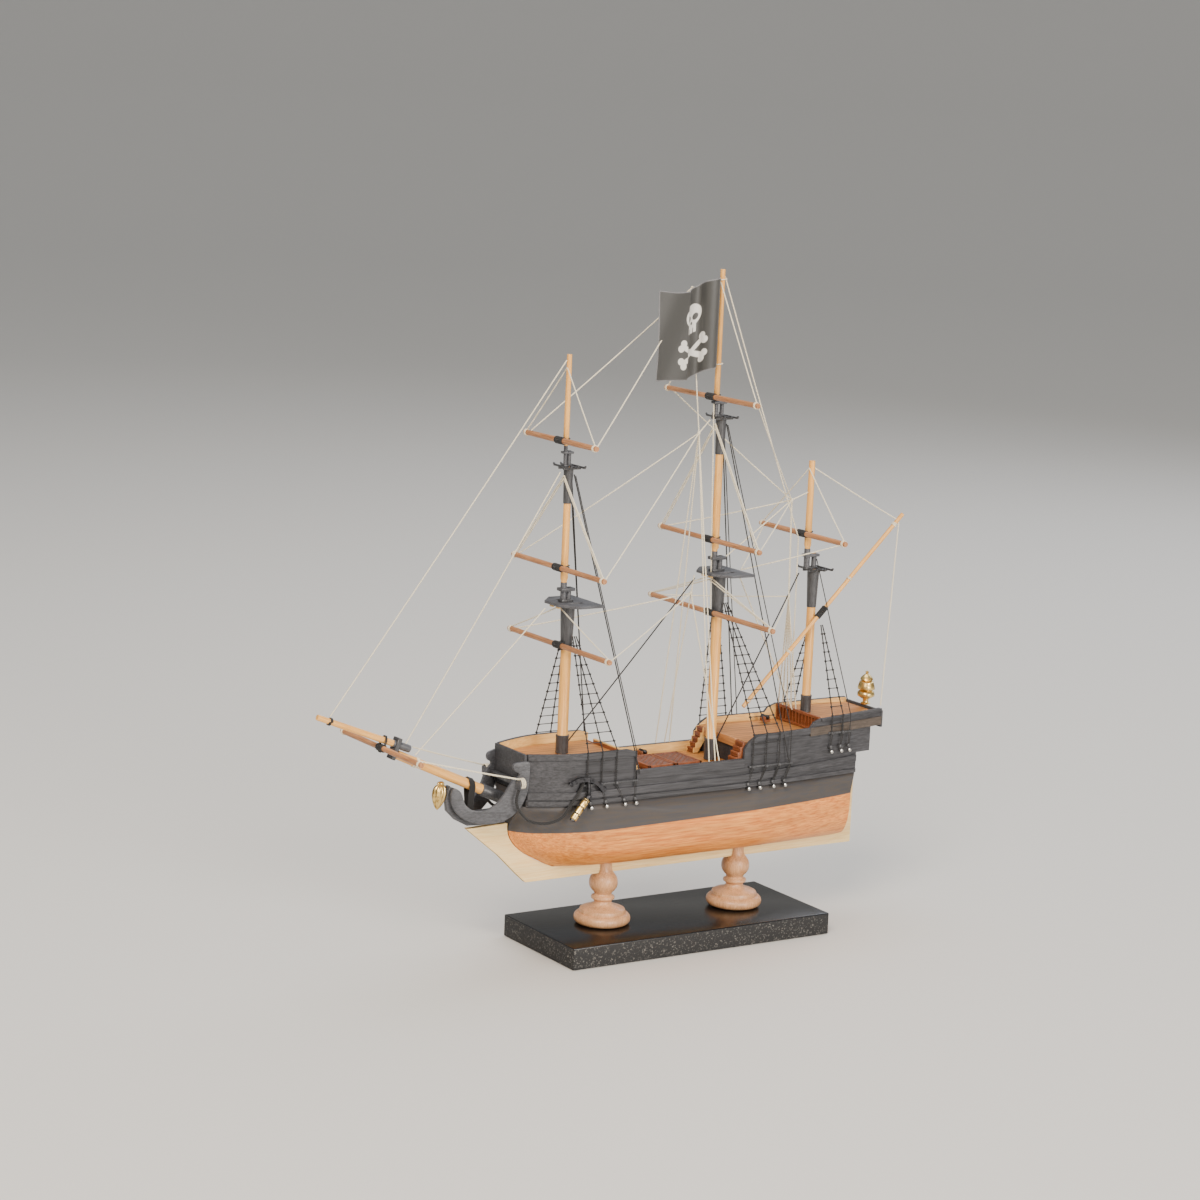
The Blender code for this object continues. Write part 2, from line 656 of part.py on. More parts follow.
def make_masts():
    """Fore, main and mizzen masts with their tops and crosstrees."""
    make_mast("fore", FORE_X, FORECASTLE_DECK_Z + GAP, 269.1, FORE_MAST_TOP,
              (LOWER_MAST_RADIUS, 1.7, 1.3), (139.0, 159.2, 166.2, 203.5, 219.3, 227.0),
              (9.5, 13.5))
    make_mast("main", MAIN_X, MAIN_DECK_Z + GAP, 305.8, MAIN_MAST_TOP,
              (LOWER_MAST_RADIUS, 1.9, 1.3), (149.0, 168.4, 176.0, 222.5, 239.0, 247.0),
              (9.5, 13.5))
    make_mast("mizzen", MIZZEN_X, POOP_DECK_Z + GAP, 217.8, MIZZEN_MAST_TOP,
              (LOWER_MAST_RADIUS * 0.86, 1.65), (149.0, 166.6, 174.5), (5.5, 8.0))


def yard_profile(half, radius):
    """Profile of a yard, a little thinner at both ends."""
    return [(0.0, half), (radius * 0.86, half), (radius * 0.9, half * 0.9),
            (radius * 0.97, half * 0.5), (radius, half * 0.15), (radius, -half * 0.15),
            (radius * 0.97, -half * 0.5), (radius * 0.9, -half * 0.9), (radius * 0.86, -half),
            (0.0, -half)]


def make_yards():
    """Eight square yards ahead of their masts, and the lateen yard on the mizzen's port side."""
    clear = YARD_RADIUS + GAP
    lower = LOWER_MAST_RADIUS + clear
    yards = [("fore_course_yard", FORE_X[0] - lower, fore_level(140.5), 42.1),
             ("fore_topsail_yard", FORE_X[1] - 1.7 - clear, fore_level(175.3), 38.1),
             ("fore_topgallant_yard", FORE_X[2] - 1.3 - clear, fore_level(231.6), 29.6),
             ("main_course_yard", MAIN_X[0] - lower, main_level(150.2), 49.4),
             ("main_topsail_yard", MAIN_X[1] - 1.9 - clear, main_level(184.1), 40.0),
             ("main_topgallant_yard", MAIN_X[2] - 1.3 - clear, main_level(248.9), 36.4),
             ("mizzen_topsail_yard", MIZZEN_X[1] - 1.65 - clear, mizzen_level(184.1), 33.1)]
    for name, x, z, half in yards:
        turned(name, yard_profile(half, YARD_RADIUS), "walnut", place(x, 0.0, z, turn("X", 90.0)),
               sides=12)
    centre = jib_point(13.6, -(JIB_RADIUS + clear + GAP))
    turned("spritsail_yard", yard_profile(35.4, YARD_RADIUS), "walnut",
           place(*centre, turn("X", 90.0)), sides=12)
    heel = Vector((33.5, 0.0, 105.5))
    peak = Vector((119.9, 0.0, 191.2))
    y = -(LOWER_MAST_RADIUS * 0.97 + 1.1 + GAP)
    middle = (heel + peak) * 0.5
    middle.y = y
    half = (peak - heel).length * 0.5
    turned("lateen_yard", yard_profile(half, 1.1), "mast_wood",
           place(*middle, along(peak - heel)), sides=12)


def bowsprit_point(distance, lift):
    """Point a distance out along the bowsprit, raised square to it."""
    run = math.cos(BOWSPRIT_SLOPE)
    rise = math.sin(BOWSPRIT_SLOPE)
    return (-90.8 - run * distance + rise * lift, 0.0, 73.1 + rise * distance + run * lift)


def jib_point(distance, lift):
    """Point a distance out along the jib-boom, raised square to it."""
    run = math.cos(JIB_SLOPE)
    rise = math.sin(JIB_SLOPE)
    return (-139.5 - run * distance + rise * lift, 0.0, 99.9 + rise * distance + run * lift)


def make_bowsprit():
    """Bowsprit, the jib-boom that rests on its outer end, and the cap that holds both."""
    rod("bowsprit", bowsprit_point(0.0, 0.0), bowsprit_point(60.5, 0.0), BOWSPRIT_RADIUS,
        "mast_wood", sides=20, top=2.0)
    rod("jib_boom", jib_point(0.0, 0.0), jib_point(48.5, 0.0), JIB_RADIUS, "mast_wood", sides=16,
        top=JIB_RADIUS * 0.85)
    low = -6.7
    high = JIB_RADIUS + 1.6
    hole = arc((0.0, 0.0), JIB_RADIUS + GAP, 360.0, 22.5, 15)
    frame = [(-2.4, low), (2.4, low), (2.4, high), (-2.4, high)]
    tilt = turn("Y", math.degrees(JIB_SLOPE)) @ turn("Z", 90.0) @ turn("X", 90.0)
    plate("bowsprit_cap", [frame, hole], 2.0, "black_wood", place(*jib_point(7.2, 0.0), tilt))


# ---------------------------------------------------------------- shrouds and flag


def net_mesh(lines, tops, length, wide, rows):
    """Return a fan-shaped lattice: shrouds crossed by ratlines, one open surface."""
    count = len(lines)
    columns = 2 * count
    levels = 2 * rows + 2
    work = bmesh.new()
    bmesh.ops.create_grid(work, x_segments=columns - 1, y_segments=levels - 1, size=1.0)
    pitch = (length - 2.0 * wide) / rows
    for face in list(work.faces):
        centre = face.calc_center_median()
        column = int((centre.x + 1.0) * 0.5 * (columns - 1))
        level = int((centre.y + 1.0) * 0.5 * (levels - 1))
        if column % 2 == 1 and level % 2 == 1:
            work.faces.remove(face)
    for vertex in work.verts:
        column = round((vertex.co.x + 1.0) * 0.5 * (columns - 1))
        level = round((vertex.co.y + 1.0) * 0.5 * (levels - 1))
        up = pitch * (level // 2) + 2.0 * wide * (level % 2)
        side = wide if column % 2 == 1 else -wide
        across = mix(lines[column // 2], tops[column // 2], up / length) + side
        vertex.co = Vector((across, up, 0.0)) * MM
    mesh = bpy.data.meshes.new("net")
    work.to_mesh(mesh)
    work.free()
    return mesh


def shroud_set(name, first_x, last_x, count, stay_x, apex_x, apex_z, rail_z, foot_z, side):
    """Add a fan of shrouds crossed by ratlines above the rail.

    Below the rail each shroud runs straight down the panel to a narrow channel.
    """
    wide = 0.3
    thick = 1.2
    leg_radius = 0.5
    apex_y = LOWER_MAST_RADIUS + 1.6
    outside = upper_half_breadth(first_x) + GAP + thick * 0.5
    apex = Vector((apex_x, side * apex_y, apex_z))
    foot = Vector((apex_x, side * outside, rail_z))
    slope = apex - foot
    length = slope.length
    rows = max(int(length / 4.2), 4)
    lines = [mix(first_x, last_x, i / (count - 1)) - apex_x for i in range(count)]
    tops = [(i - (count - 1) * 0.5) * 0.9 for i in range(count)]
    up = slope.normalized()
    forward = Vector((1.0, 0.0, 0.0))
    facing = forward.cross(up)
    frame = Matrix((forward, up, facing)).transposed()
    net = add_part(name, net_mesh(lines, tops, length, wide, rows), "black_thread",
                   place(*foot, frame))
    thicken = net.modifiers.new("thicken", "SOLIDIFY")
    thicken.thickness = NET_THICKNESS * MM
    thicken.offset = 0.0
    front = first_x - 2.0
    back = stay_x + 1.5
    board = box("channel", (back - front, thick, thick),
                ((front + back) * 0.5, side * outside, foot_z), "black_wood")
    legs = [rod("leg", (apex_x + line, side * outside, foot_z),
                (apex_x + line, side * outside, rail_z + leg_radius), leg_radius, "black_wood",
                sides=8) for line in lines]
    solid = combine(board, legs + [net])
    solid.name = name
    solid.data.materials.clear()
    solid.data.materials.append(make_material("black_thread"))


def make_shrouds():
    """Six sets of shrouds."""
    for end, side in (("port", -1.0), ("starboard", 1.0)):
        shroud_set("fore_shrouds_" + end, -61.8, -46.6, 3, -36.4, FORE_X[0] + 1.5,
                   fore_level(144.8), 95.9, 81.4, side)
        shroud_set("main_shrouds_" + end, 27.5, 42.2, 3, 48.5, MAIN_X[0] + 1.5,
                   main_level(155.0), 96.6, 81.7, side)
        shroud_set("mizzen_shrouds_" + end, 73.8, 80.0, 2, 84.3, MIZZEN_X[0] + 3.6,
                   mizzen_level(141.1), 101.0, 93.0, side)


def make_flag():
    """Flag: a waved ribbon of cloth flying forward from the topgallant mast."""
    near = []
    far = []
    steps = 16
    hoist = MAIN_X[2] - 1.3 - 0.9
    for i in range(steps + 1):
        t = i / steps
        x = hoist - 32.0 * t
        y = -3.4 * math.sin(2.0 * math.pi * min(t * 2.2, 1.0)) * (1.0 - 0.4 * t)
        near.append((x, y - 0.4))
        far.append((x, y + 0.4))
    height = 39.6
    plate("flag", [near + list(reversed(far))], height, "flag_cloth",
          place(0.0, 0.0, main_level(281.1)))


def main():
    """Build the whole model."""
    clear_scene()
    make_stand()
    make_keel()
    make_hull_block()
    make_side_panels()
    make_decks()
    make_head()
    make_anchors()
    make_fittings()
    make_masts()
    make_yards()
    make_bowsprit()
    make_shrouds()
    make_flag()


main()
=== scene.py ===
"""Looks of a wooden model sailing ship on a black board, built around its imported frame.

Lengths are in millimetres and turned to metres by MM. +X points to the stern, +Y to starboard
and +Z up. The origin is the centre of the board's underside.
"""

from __future__ import annotations

import logging
import math
from collections.abc import Sequence
from dataclasses import dataclass
from enum import Enum

import bpy
from mathutils import Euler, Matrix, Vector

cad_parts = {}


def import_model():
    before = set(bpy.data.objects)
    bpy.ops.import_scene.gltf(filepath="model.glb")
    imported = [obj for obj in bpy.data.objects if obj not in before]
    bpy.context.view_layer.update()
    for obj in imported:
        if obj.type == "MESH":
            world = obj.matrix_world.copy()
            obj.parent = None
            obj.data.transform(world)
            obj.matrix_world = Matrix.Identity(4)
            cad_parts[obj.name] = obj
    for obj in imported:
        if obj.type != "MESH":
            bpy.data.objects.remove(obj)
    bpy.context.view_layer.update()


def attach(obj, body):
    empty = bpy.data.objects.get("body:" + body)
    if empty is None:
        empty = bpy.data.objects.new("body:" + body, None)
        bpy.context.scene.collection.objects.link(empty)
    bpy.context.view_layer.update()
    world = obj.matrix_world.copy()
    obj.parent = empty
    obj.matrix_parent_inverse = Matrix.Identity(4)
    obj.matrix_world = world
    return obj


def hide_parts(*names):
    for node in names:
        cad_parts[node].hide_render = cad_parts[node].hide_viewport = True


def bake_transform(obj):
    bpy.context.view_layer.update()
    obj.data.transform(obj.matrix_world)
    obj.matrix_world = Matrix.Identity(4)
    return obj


MM = 0.001
LOG = logging.getLogger("model_ship")
Point = tuple[float, float, float]
Flat = tuple[float, float]


# ---------------------------------------------------------------- colours and nodes


def linear(code: str) -> tuple[float, float, float, float]:
    """Turn an sRGB hex colour into linear light.

    Args:
        code: the colour, such as "#a0b1c2".

    Returns:
        Red, green, blue and an alpha of one.
    """
    parts = [int(code[i : i + 2], 16) / 255.0 for i in (1, 3, 5)]
    red, green, blue = (p / 12.92 if p <= 0.04045 else ((p + 0.055) / 1.055) ** 2.4 for p in parts)
    return (red, green, blue, 1.0)


def add_node(
    tree: bpy.types.NodeTree,
    kind: str,
    settings: dict[str | int, object],
    links: dict[str | int, bpy.types.NodeSocket] | None = None,
) -> bpy.types.Node:
    """Add a node with its settings and links.

    Args:
        tree: the node tree that gets the node.
        kind: the node's type.
        settings: values by the name of a property of the node, or by an input's name or number.
        links: output sockets of other nodes by the input's name or number.

    Returns:
        The new node.
    """
    node = tree.nodes.new(kind)
    for name, value in settings.items():
        if isinstance(name, str) and name in node.bl_rna.properties:
            setattr(node, name, value)
    for name, value in settings.items():
        if not (isinstance(name, str) and name in node.bl_rna.properties):
            node.inputs[name].default_value = value
    for name, socket in (links or {}).items():
        tree.links.new(socket, node.inputs[name])
    return node


class Grain(Enum):
    """The way a wood's fibres run, as the turn that lays the pattern's long axis along them."""

    ALONG_SHIP = (0.0, 0.0, 0.0)
    ACROSS_SHIP = (0.0, 0.0, math.pi / 2)
    UPRIGHT = (0.0, math.pi / 2, 0.0)
    BOWSPRIT = (0.0, math.atan2(21.3, 47.1), 0.0)
    JIB_BOOM = (0.0, math.radians(21.3), 0.0)
    LATEEN = (0.0, -math.radians(44.8), 0.0)


@dataclass(frozen=True)
class Finish:
    """A named surface. Each kind of finish says in build what its nodes do."""

    title: str
    slot: str = ""

    def material(self) -> bpy.types.Material:
        """Return the material, made on first use."""
        found = bpy.data.materials.get(self.title)
        if found is not None:
            return found
        material = bpy.data.materials.new(self.title)
        material.use_nodes = True
        tree = material.node_tree
        self.build(tree, tree.nodes["Principled BSDF"])
        return material

    def build(self, tree: bpy.types.NodeTree, shader: bpy.types.Node) -> None:
        """Add the finish's nodes in front of the shader."""
        raise NotImplementedError

    def fibres(
        self, tree: bpy.types.NodeTree, turn: tuple[float, float, float], size: Point
    ) -> tuple[bpy.types.Node, bpy.types.Node]:
        """Add the fine and the broad figure of a fibrous material.

        Args:
            tree: the material's node tree.
            turn: the turn of the fibres from the X axis.
            size: length, width and thickness of one fibre mark in millimetres.

        Returns:
            The fine noise and the broad noise.
        """
        coords = add_node(tree, "ShaderNodeTexCoord", {})
        lay = add_node(tree, "ShaderNodeMapping", {"vector_type": "TEXTURE", "Rotation": turn,
                       "Scale": tuple(s * MM for s in size)}, {"Vector": coords.outputs["Object"]})
        fine = add_node(tree, "ShaderNodeTexNoise", {"Scale": 1.0, "Detail": 4.0,
                        "Roughness": 0.65, "Distortion": 0.3}, {"Vector": lay.outputs[0]})
        broad = add_node(tree, "ShaderNodeTexNoise", {"Scale": 0.16, "Detail": 2.0},
                         {"Vector": lay.outputs[0]})
        return fine, broad


@dataclass(frozen=True)
class Wood(Finish):
    """Planed and sealed wood: pale ground, darker fibres, short open pores, slight figure."""

    pale: str = "#e0bd85"
    dark: str = "#b98d55"
    turn: tuple[float, float, float] = Grain.ALONG_SHIP.value
    fibre: Point = (16.0, 0.8, 0.8)
    rough: float = 0.5
    coat: float = 0.0
    relief: float = 0.25
    plank: float = 0.0

    def build(self, tree: bpy.types.NodeTree, shader: bpy.types.Node) -> None:
        """Mix the two tones by the fibres, cut seams if planked, and roughen the pores."""
        fine, broad = self.fibres(tree, self.turn, self.fibre)
        share = add_node(tree, "ShaderNodeMapRange", {"From Min": 0.34, "From Max": 0.66},
                         {"Value": fine.outputs["Fac"]})
        tone = add_node(tree, "ShaderNodeMix", {"data_type": "RGBA", 6: linear(self.pale),
                        7: linear(self.dark)}, {"Factor": share.outputs[0]})
        shade = add_node(tree, "ShaderNodeMapRange", {"From Min": 0.3, "From Max": 0.7,
                         "To Min": 0.82, "To Max": 1.1}, {"Value": broad.outputs["Fac"]})
        last = add_node(tree, "ShaderNodeVectorMath", {"operation": "SCALE"},
                        {0: tone.outputs[2], "Scale": shade.outputs[0]}).outputs[0]
        if self.plank:
            coords = add_node(tree, "ShaderNodeTexCoord", {})
            parts = add_node(tree, "ShaderNodeSeparateXYZ", {}, {0: coords.outputs["Object"]})
            beat = add_node(tree, "ShaderNodeMath", {"operation": "PINGPONG",
                            1: self.plank * MM * 0.5}, {0: parts.outputs["Y"]})
            seam = add_node(tree, "ShaderNodeMapRange", {"From Min": 0.00005,
                            "From Max": 0.0003, "To Min": 0.35}, {"Value": beat.outputs[0]})
            last = add_node(tree, "ShaderNodeVectorMath", {"operation": "SCALE"},
                            {0: last, "Scale": seam.outputs[0]}).outputs[0]
        tree.links.new(last, shader.inputs["Base Color"])
        gloss = add_node(tree, "ShaderNodeMapRange", {"To Min": self.rough - 0.08,
                         "To Max": self.rough + 0.12}, {"Value": fine.outputs["Fac"]})
        tree.links.new(gloss.outputs[0], shader.inputs["Roughness"])
        bump = add_node(tree, "ShaderNodeBump", {"Strength": self.relief, "Distance": 0.00012},
                        {"Height": fine.outputs["Fac"]})
        tree.links.new(bump.outputs[0], shader.inputs["Normal"])
        shader.inputs["Coat Weight"].default_value = self.coat
        shader.inputs["Coat Roughness"].default_value = 0.22


@dataclass(frozen=True)
class StainedHull(Finish):
    """Solid limewood block: varnished below the waterline, black stain above it.

    The varnished part is orange-brown with fine darker fibres. The stain is matt and lets a
    little brown fibre through, and its edge creeps slightly into the grain.
    """

    waterline: float = 60.1
    tilt: float = 0.0167
    pale: str = "#f2a452"
    dark: str = "#cd7128"
    stain: str = "#404044"
    worn: str = "#4c443d"

    def build(self, tree: bpy.types.NodeTree, shader: bpy.types.Node) -> None:
        """Lay varnished wood and stain on the two sides of the waterline."""
        fine, broad = self.fibres(tree, Grain.ALONG_SHIP.value, (14.0, 0.7, 0.7))
        share = add_node(tree, "ShaderNodeMapRange", {"From Min": 0.36, "From Max": 0.64},
                         {"Value": fine.outputs["Fac"]})
        wood = add_node(tree, "ShaderNodeMix", {"data_type": "RGBA", 6: linear(self.pale),
                        7: linear(self.dark)}, {"Factor": share.outputs[0]})
        dark = add_node(tree, "ShaderNodeMix", {"data_type": "RGBA", 6: linear(self.stain),
                        7: linear(self.worn)}, {"Factor": share.outputs[0]})
        coords = add_node(tree, "ShaderNodeTexCoord", {})
        parts = add_node(tree, "ShaderNodeSeparateXYZ", {}, {0: coords.outputs["Object"]})
        creep = add_node(tree, "ShaderNodeMath", {"operation": "MULTIPLY_ADD", 1: 0.0006},
                         {0: broad.outputs["Fac"], 2: parts.outputs["Z"]})
        trim = add_node(tree, "ShaderNodeMath", {"operation": "MULTIPLY_ADD", 1: -self.tilt},
                        {0: parts.outputs["X"], 2: creep.outputs[0]})
        above = add_node(tree, "ShaderNodeMapRange", {"From Min": (self.waterline + 0.2) * MM,
                         "From Max": (self.waterline + 0.5) * MM}, {"Value": trim.outputs[0]})
        both = add_node(tree, "ShaderNodeMix", {"data_type": "RGBA"},
                        {"Factor": above.outputs[0], 6: wood.outputs[2], 7: dark.outputs[2]})
        shade = add_node(tree, "ShaderNodeMapRange", {"From Min": 0.3, "From Max": 0.7,
                         "To Min": 0.86, "To Max": 1.1}, {"Value": broad.outputs["Fac"]})
        tint = add_node(tree, "ShaderNodeVectorMath", {"operation": "SCALE"},
                        {0: both.outputs[2], "Scale": shade.outputs[0]})
        tree.links.new(tint.outputs[0], shader.inputs["Base Color"])
        gloss = add_node(tree, "ShaderNodeMapRange", {"To Min": 0.38, "To Max": 0.56},
                         {"Value": above.outputs[0]})
        tree.links.new(gloss.outputs[0], shader.inputs["Roughness"])
        bump = add_node(tree, "ShaderNodeBump", {"Strength": 0.3, "Distance": 0.00012},
                        {"Height": fine.outputs["Fac"]})
        tree.links.new(bump.outputs[0], shader.inputs["Normal"])


@dataclass(frozen=True)
class Plywood(Finish):
    """Birch plywood: cream face veneer with fine fibres, a browner middle ply on the edges."""

    face: str = "#ffe2a6"
    fibre_tone: str = "#f0c883"
    core: str = "#b9905a"

    def build(self, tree: bpy.types.NodeTree, shader: bpy.types.Node) -> None:
        """Show the middle ply where the surface is near the board's middle plane."""
        fine, broad = self.fibres(tree, Grain.ALONG_SHIP.value, (18.0, 0.6, 0.9))
        share = add_node(tree, "ShaderNodeMapRange", {"From Min": 0.36, "From Max": 0.66},
                         {"Value": fine.outputs["Fac"]})
        wood = add_node(tree, "ShaderNodeMix", {"data_type": "RGBA", 6: linear(self.face),
                        7: linear(self.fibre_tone)}, {"Factor": share.outputs[0]})
        coords = add_node(tree, "ShaderNodeTexCoord", {})
        parts = add_node(tree, "ShaderNodeSeparateXYZ", {}, {0: coords.outputs["Object"]})
        depth = add_node(tree, "ShaderNodeMath", {"operation": "ABSOLUTE"},
                         {0: parts.outputs["Y"]})
        inside = add_node(tree, "ShaderNodeMapRange", {"From Min": 0.0005, "From Max": 0.0006,
                          "To Min": 1.0, "To Max": 0.0}, {"Value": depth.outputs[0]})
        both = add_node(tree, "ShaderNodeMix", {"data_type": "RGBA", 7: linear(self.core)},
                        {"Factor": inside.outputs[0], 6: wood.outputs[2]})
        shade = add_node(tree, "ShaderNodeMapRange", {"From Min": 0.3, "From Max": 0.7,
                         "To Min": 0.9, "To Max": 1.05}, {"Value": broad.outputs["Fac"]})
        tint = add_node(tree, "ShaderNodeVectorMath", {"operation": "SCALE"},
                        {0: both.outputs[2], "Scale": shade.outputs[0]})
        tree.links.new(tint.outputs[0], shader.inputs["Base Color"])
        bump = add_node(tree, "ShaderNodeBump", {"Strength": 0.2, "Distance": 0.0001},
                        {"Height": fine.outputs["Fac"]})
        tree.links.new(bump.outputs[0], shader.inputs["Normal"])
        shader.inputs["Roughness"].default_value = 0.62


@dataclass(frozen=True)
class LacqueredBoard(Finish):
    """Black stained board: lacquered satin top, rough end grain with grey specks on the edges."""

    top: str = "#101011"
    edge: str = "#232324"
    speck: str = "#77746f"
    edge_height: float = 9.55

    def build(self, tree: bpy.types.NodeTree, shader: bpy.types.Node) -> None:
        """Tell the top from the edges by height, and scatter specks on the edges."""
        coords = add_node(tree, "ShaderNodeTexCoord", {})
        grit = add_node(tree, "ShaderNodeTexNoise", {"Scale": 1.0 / (0.8 * MM), "Detail": 3.0,
                        "Roughness": 0.7}, {"Vector": coords.outputs["Object"]})
        fine, _ = self.fibres(tree, Grain.ALONG_SHIP.value, (12.0, 0.8, 0.8))
        parts = add_node(tree, "ShaderNodeSeparateXYZ", {}, {0: coords.outputs["Object"]})
        upper = add_node(tree, "ShaderNodeMapRange", {"From Min": (self.edge_height - 0.2) * MM,
                         "From Max": self.edge_height * MM}, {"Value": parts.outputs["Z"]})
        specks = add_node(tree, "ShaderNodeMapRange", {"From Min": 0.56, "From Max": 0.68},
                          {"Value": grit.outputs["Fac"]})
        side = add_node(tree, "ShaderNodeMix", {"data_type": "RGBA", 6: linear(self.edge),
                        7: linear(self.speck)}, {"Factor": specks.outputs[0]})
        both = add_node(tree, "ShaderNodeMix", {"data_type": "RGBA", 7: linear(self.top)},
                        {"Factor": upper.outputs[0], 6: side.outputs[2]})
        tree.links.new(both.outputs[2], shader.inputs["Base Color"])
        gloss = add_node(tree, "ShaderNodeMapRange", {"To Min": 0.75, "To Max": 0.22},
                         {"Value": upper.outputs[0]})
        tree.links.new(gloss.outputs[0], shader.inputs["Roughness"])
        relief = add_node(tree, "ShaderNodeMix", {"data_type": "FLOAT"},
                          {"Factor": upper.outputs[0], 2: grit.outputs["Fac"],
                           3: fine.outputs["Fac"]})
        bump = add_node(tree, "ShaderNodeBump", {"Strength": 0.25, "Distance": 0.0002},
                        {"Height": relief.outputs[0]})
        tree.links.new(bump.outputs[0], shader.inputs["Normal"])


@dataclass(frozen=True)
class TwistedThread(Finish):
    """Twisted cotton: two tones of strand turn round the thread, fluffy and matt."""

    strand: str = "#eae1cb"
    furrow: str = "#d0c5aa"

    def build(self, tree: bpy.types.NodeTree, shader: bpy.types.Node) -> None:
        """Cross the thread with slanted bands a strand apart, drawn a little coarse to show."""
        coords = add_node(tree, "ShaderNodeTexCoord", {})
        twist = add_node(tree, "ShaderNodeTexWave", {"wave_type": "BANDS",
                         "bands_direction": "DIAGONAL", "Scale": 0.7 / MM, "Distortion": 1.0,
                         "Detail": 1.0}, {"Vector": coords.outputs["Object"]})
        tone = add_node(tree, "ShaderNodeMix", {"data_type": "RGBA", 6: linear(self.furrow),
                        7: linear(self.strand)}, {"Factor": twist.outputs["Fac"]})
        tree.links.new(tone.outputs[2], shader.inputs["Base Color"])
        bump = add_node(tree, "ShaderNodeBump", {"Strength": 0.4, "Distance": 0.0001},
                        {"Height": twist.outputs["Fac"]})
        tree.links.new(bump.outputs[0], shader.inputs["Normal"])
        shader.inputs["Roughness"].default_value = 0.85
        shader.inputs["Sheen Weight"].default_value = 0.15


@dataclass(frozen=True)
class CastMetal(Finish):
    """Cast metal: bright on top of a darker patina that stays in patches."""

    bright: str = "#e8c983"
    patina: str = "#9a7434"
    rough: float = 0.3
    grit: float = 1.6

    def build(self, tree: bpy.types.NodeTree, shader: bpy.types.Node) -> None:
        """Mottle the metal with patina and a fine casting skin."""
        coords = add_node(tree, "ShaderNodeTexCoord", {})
        patch = add_node(tree, "ShaderNodeTexNoise", {"Scale": 1.0 / (self.grit * MM),
                         "Detail": 4.0}, {"Vector": coords.outputs["Object"]})
        share = add_node(tree, "ShaderNodeMapRange", {"From Min": 0.48, "From Max": 0.7},
                         {"Value": patch.outputs["Fac"]})
        tone = add_node(tree, "ShaderNodeMix", {"data_type": "RGBA", 6: linear(self.bright),
                        7: linear(self.patina)}, {"Factor": share.outputs[0]})
        tree.links.new(tone.outputs[2], shader.inputs["Base Color"])
        gloss = add_node(tree, "ShaderNodeMapRange", {"To Min": self.rough,
                         "To Max": self.rough + 0.25}, {"Value": share.outputs[0]})
        tree.links.new(gloss.outputs[0], shader.inputs["Roughness"])
        bump = add_node(tree, "ShaderNodeBump", {"Strength": 0.3, "Distance": 0.0001},
                        {"Height": patch.outputs["Fac"]})
        tree.links.new(bump.outputs[0], shader.inputs["Normal"])
        shader.inputs["Metallic"].default_value = 1.0


@dataclass(frozen=True)
class PrintedSatin(Finish):
    """Dark satin cloth with a white printed emblem and a pale cut edge."""

    cloth: str = "#3a3a38"
    print_tone: str = "#dedcd6"
    hem: str = "#77777a"

    def build(self, tree: bpy.types.NodeTree, shader: bpy.types.Node) -> None:
        """Weave the cloth from the piece's own UV map and print the emblem attribute on it."""
        place = add_node(tree, "ShaderNodeUVMap", {"uv_map": "cloth"})
        lay = add_node(tree, "ShaderNodeMapping", {"Scale": (60.0, 60.0, 1.0)},
                       {"Vector": place.outputs[0]})
        weft = add_node(tree, "ShaderNodeTexWave", {"wave_type": "BANDS", "bands_direction": "X",
                        "Scale": 1.0, "Distortion": 0.4}, {"Vector": lay.outputs[0]})
        warp = add_node(tree, "ShaderNodeTexWave", {"wave_type": "BANDS", "bands_direction": "Y",
                        "Scale": 1.0, "Distortion": 0.4}, {"Vector": lay.outputs[0]})
        weave = add_node(tree, "ShaderNodeMath", {"operation": "MULTIPLY"},
                         {0: weft.outputs["Fac"], 1: warp.outputs["Fac"]})
        ground = add_node(tree, "ShaderNodeMapRange", {"To Min": 0.75, "To Max": 1.3},
                          {"Value": weave.outputs[0]})
        mark = add_node(tree, "ShaderNodeAttribute", {"attribute_name": "emblem"})
        edge = add_node(tree, "ShaderNodeAttribute", {"attribute_name": "hem"})
        sharp = add_node(tree, "ShaderNodeMapRange", {"From Min": -0.12, "From Max": 0.12},
                         {"Value": mark.outputs["Fac"]})
        printed = add_node(tree, "ShaderNodeMix", {"data_type": "RGBA", 6: linear(self.cloth),
                           7: linear(self.print_tone)}, {"Factor": sharp.outputs[0]})
        hemmed = add_node(tree, "ShaderNodeMix", {"data_type": "RGBA", 7: linear(self.hem)},
                          {"Factor": edge.outputs["Fac"], 6: printed.outputs[2]})
        tint = add_node(tree, "ShaderNodeVectorMath", {"operation": "SCALE"},
                        {0: hemmed.outputs[2], "Scale": ground.outputs[0]})
        tree.links.new(tint.outputs[0], shader.inputs["Base Color"])
        bump = add_node(tree, "ShaderNodeBump", {"Strength": 0.2, "Distance": 0.0001},
                        {"Height": weave.outputs[0]})
        tree.links.new(bump.outputs[0], shader.inputs["Normal"])
        shader.inputs["Roughness"].default_value = 0.42
        shader.inputs["Sheen Weight"].default_value = 0.3


BOARD = LacqueredBoard("lacquered_black_board", "board")
# Steamed beech: pinkish beige with short dark flecks along the turning axis.
BEECH = Wood("turned_steamed_beech", "beech", "#e2b184", "#bf8656", Grain.UPRIGHT.value,
             (3.5, 0.5, 0.5), 0.42, 0.25, 0.2)
PLYWOOD = Plywood("birch_plywood", "plywood")
HULL = StainedHull("limewood_varnished_and_stained", "hull_wood")
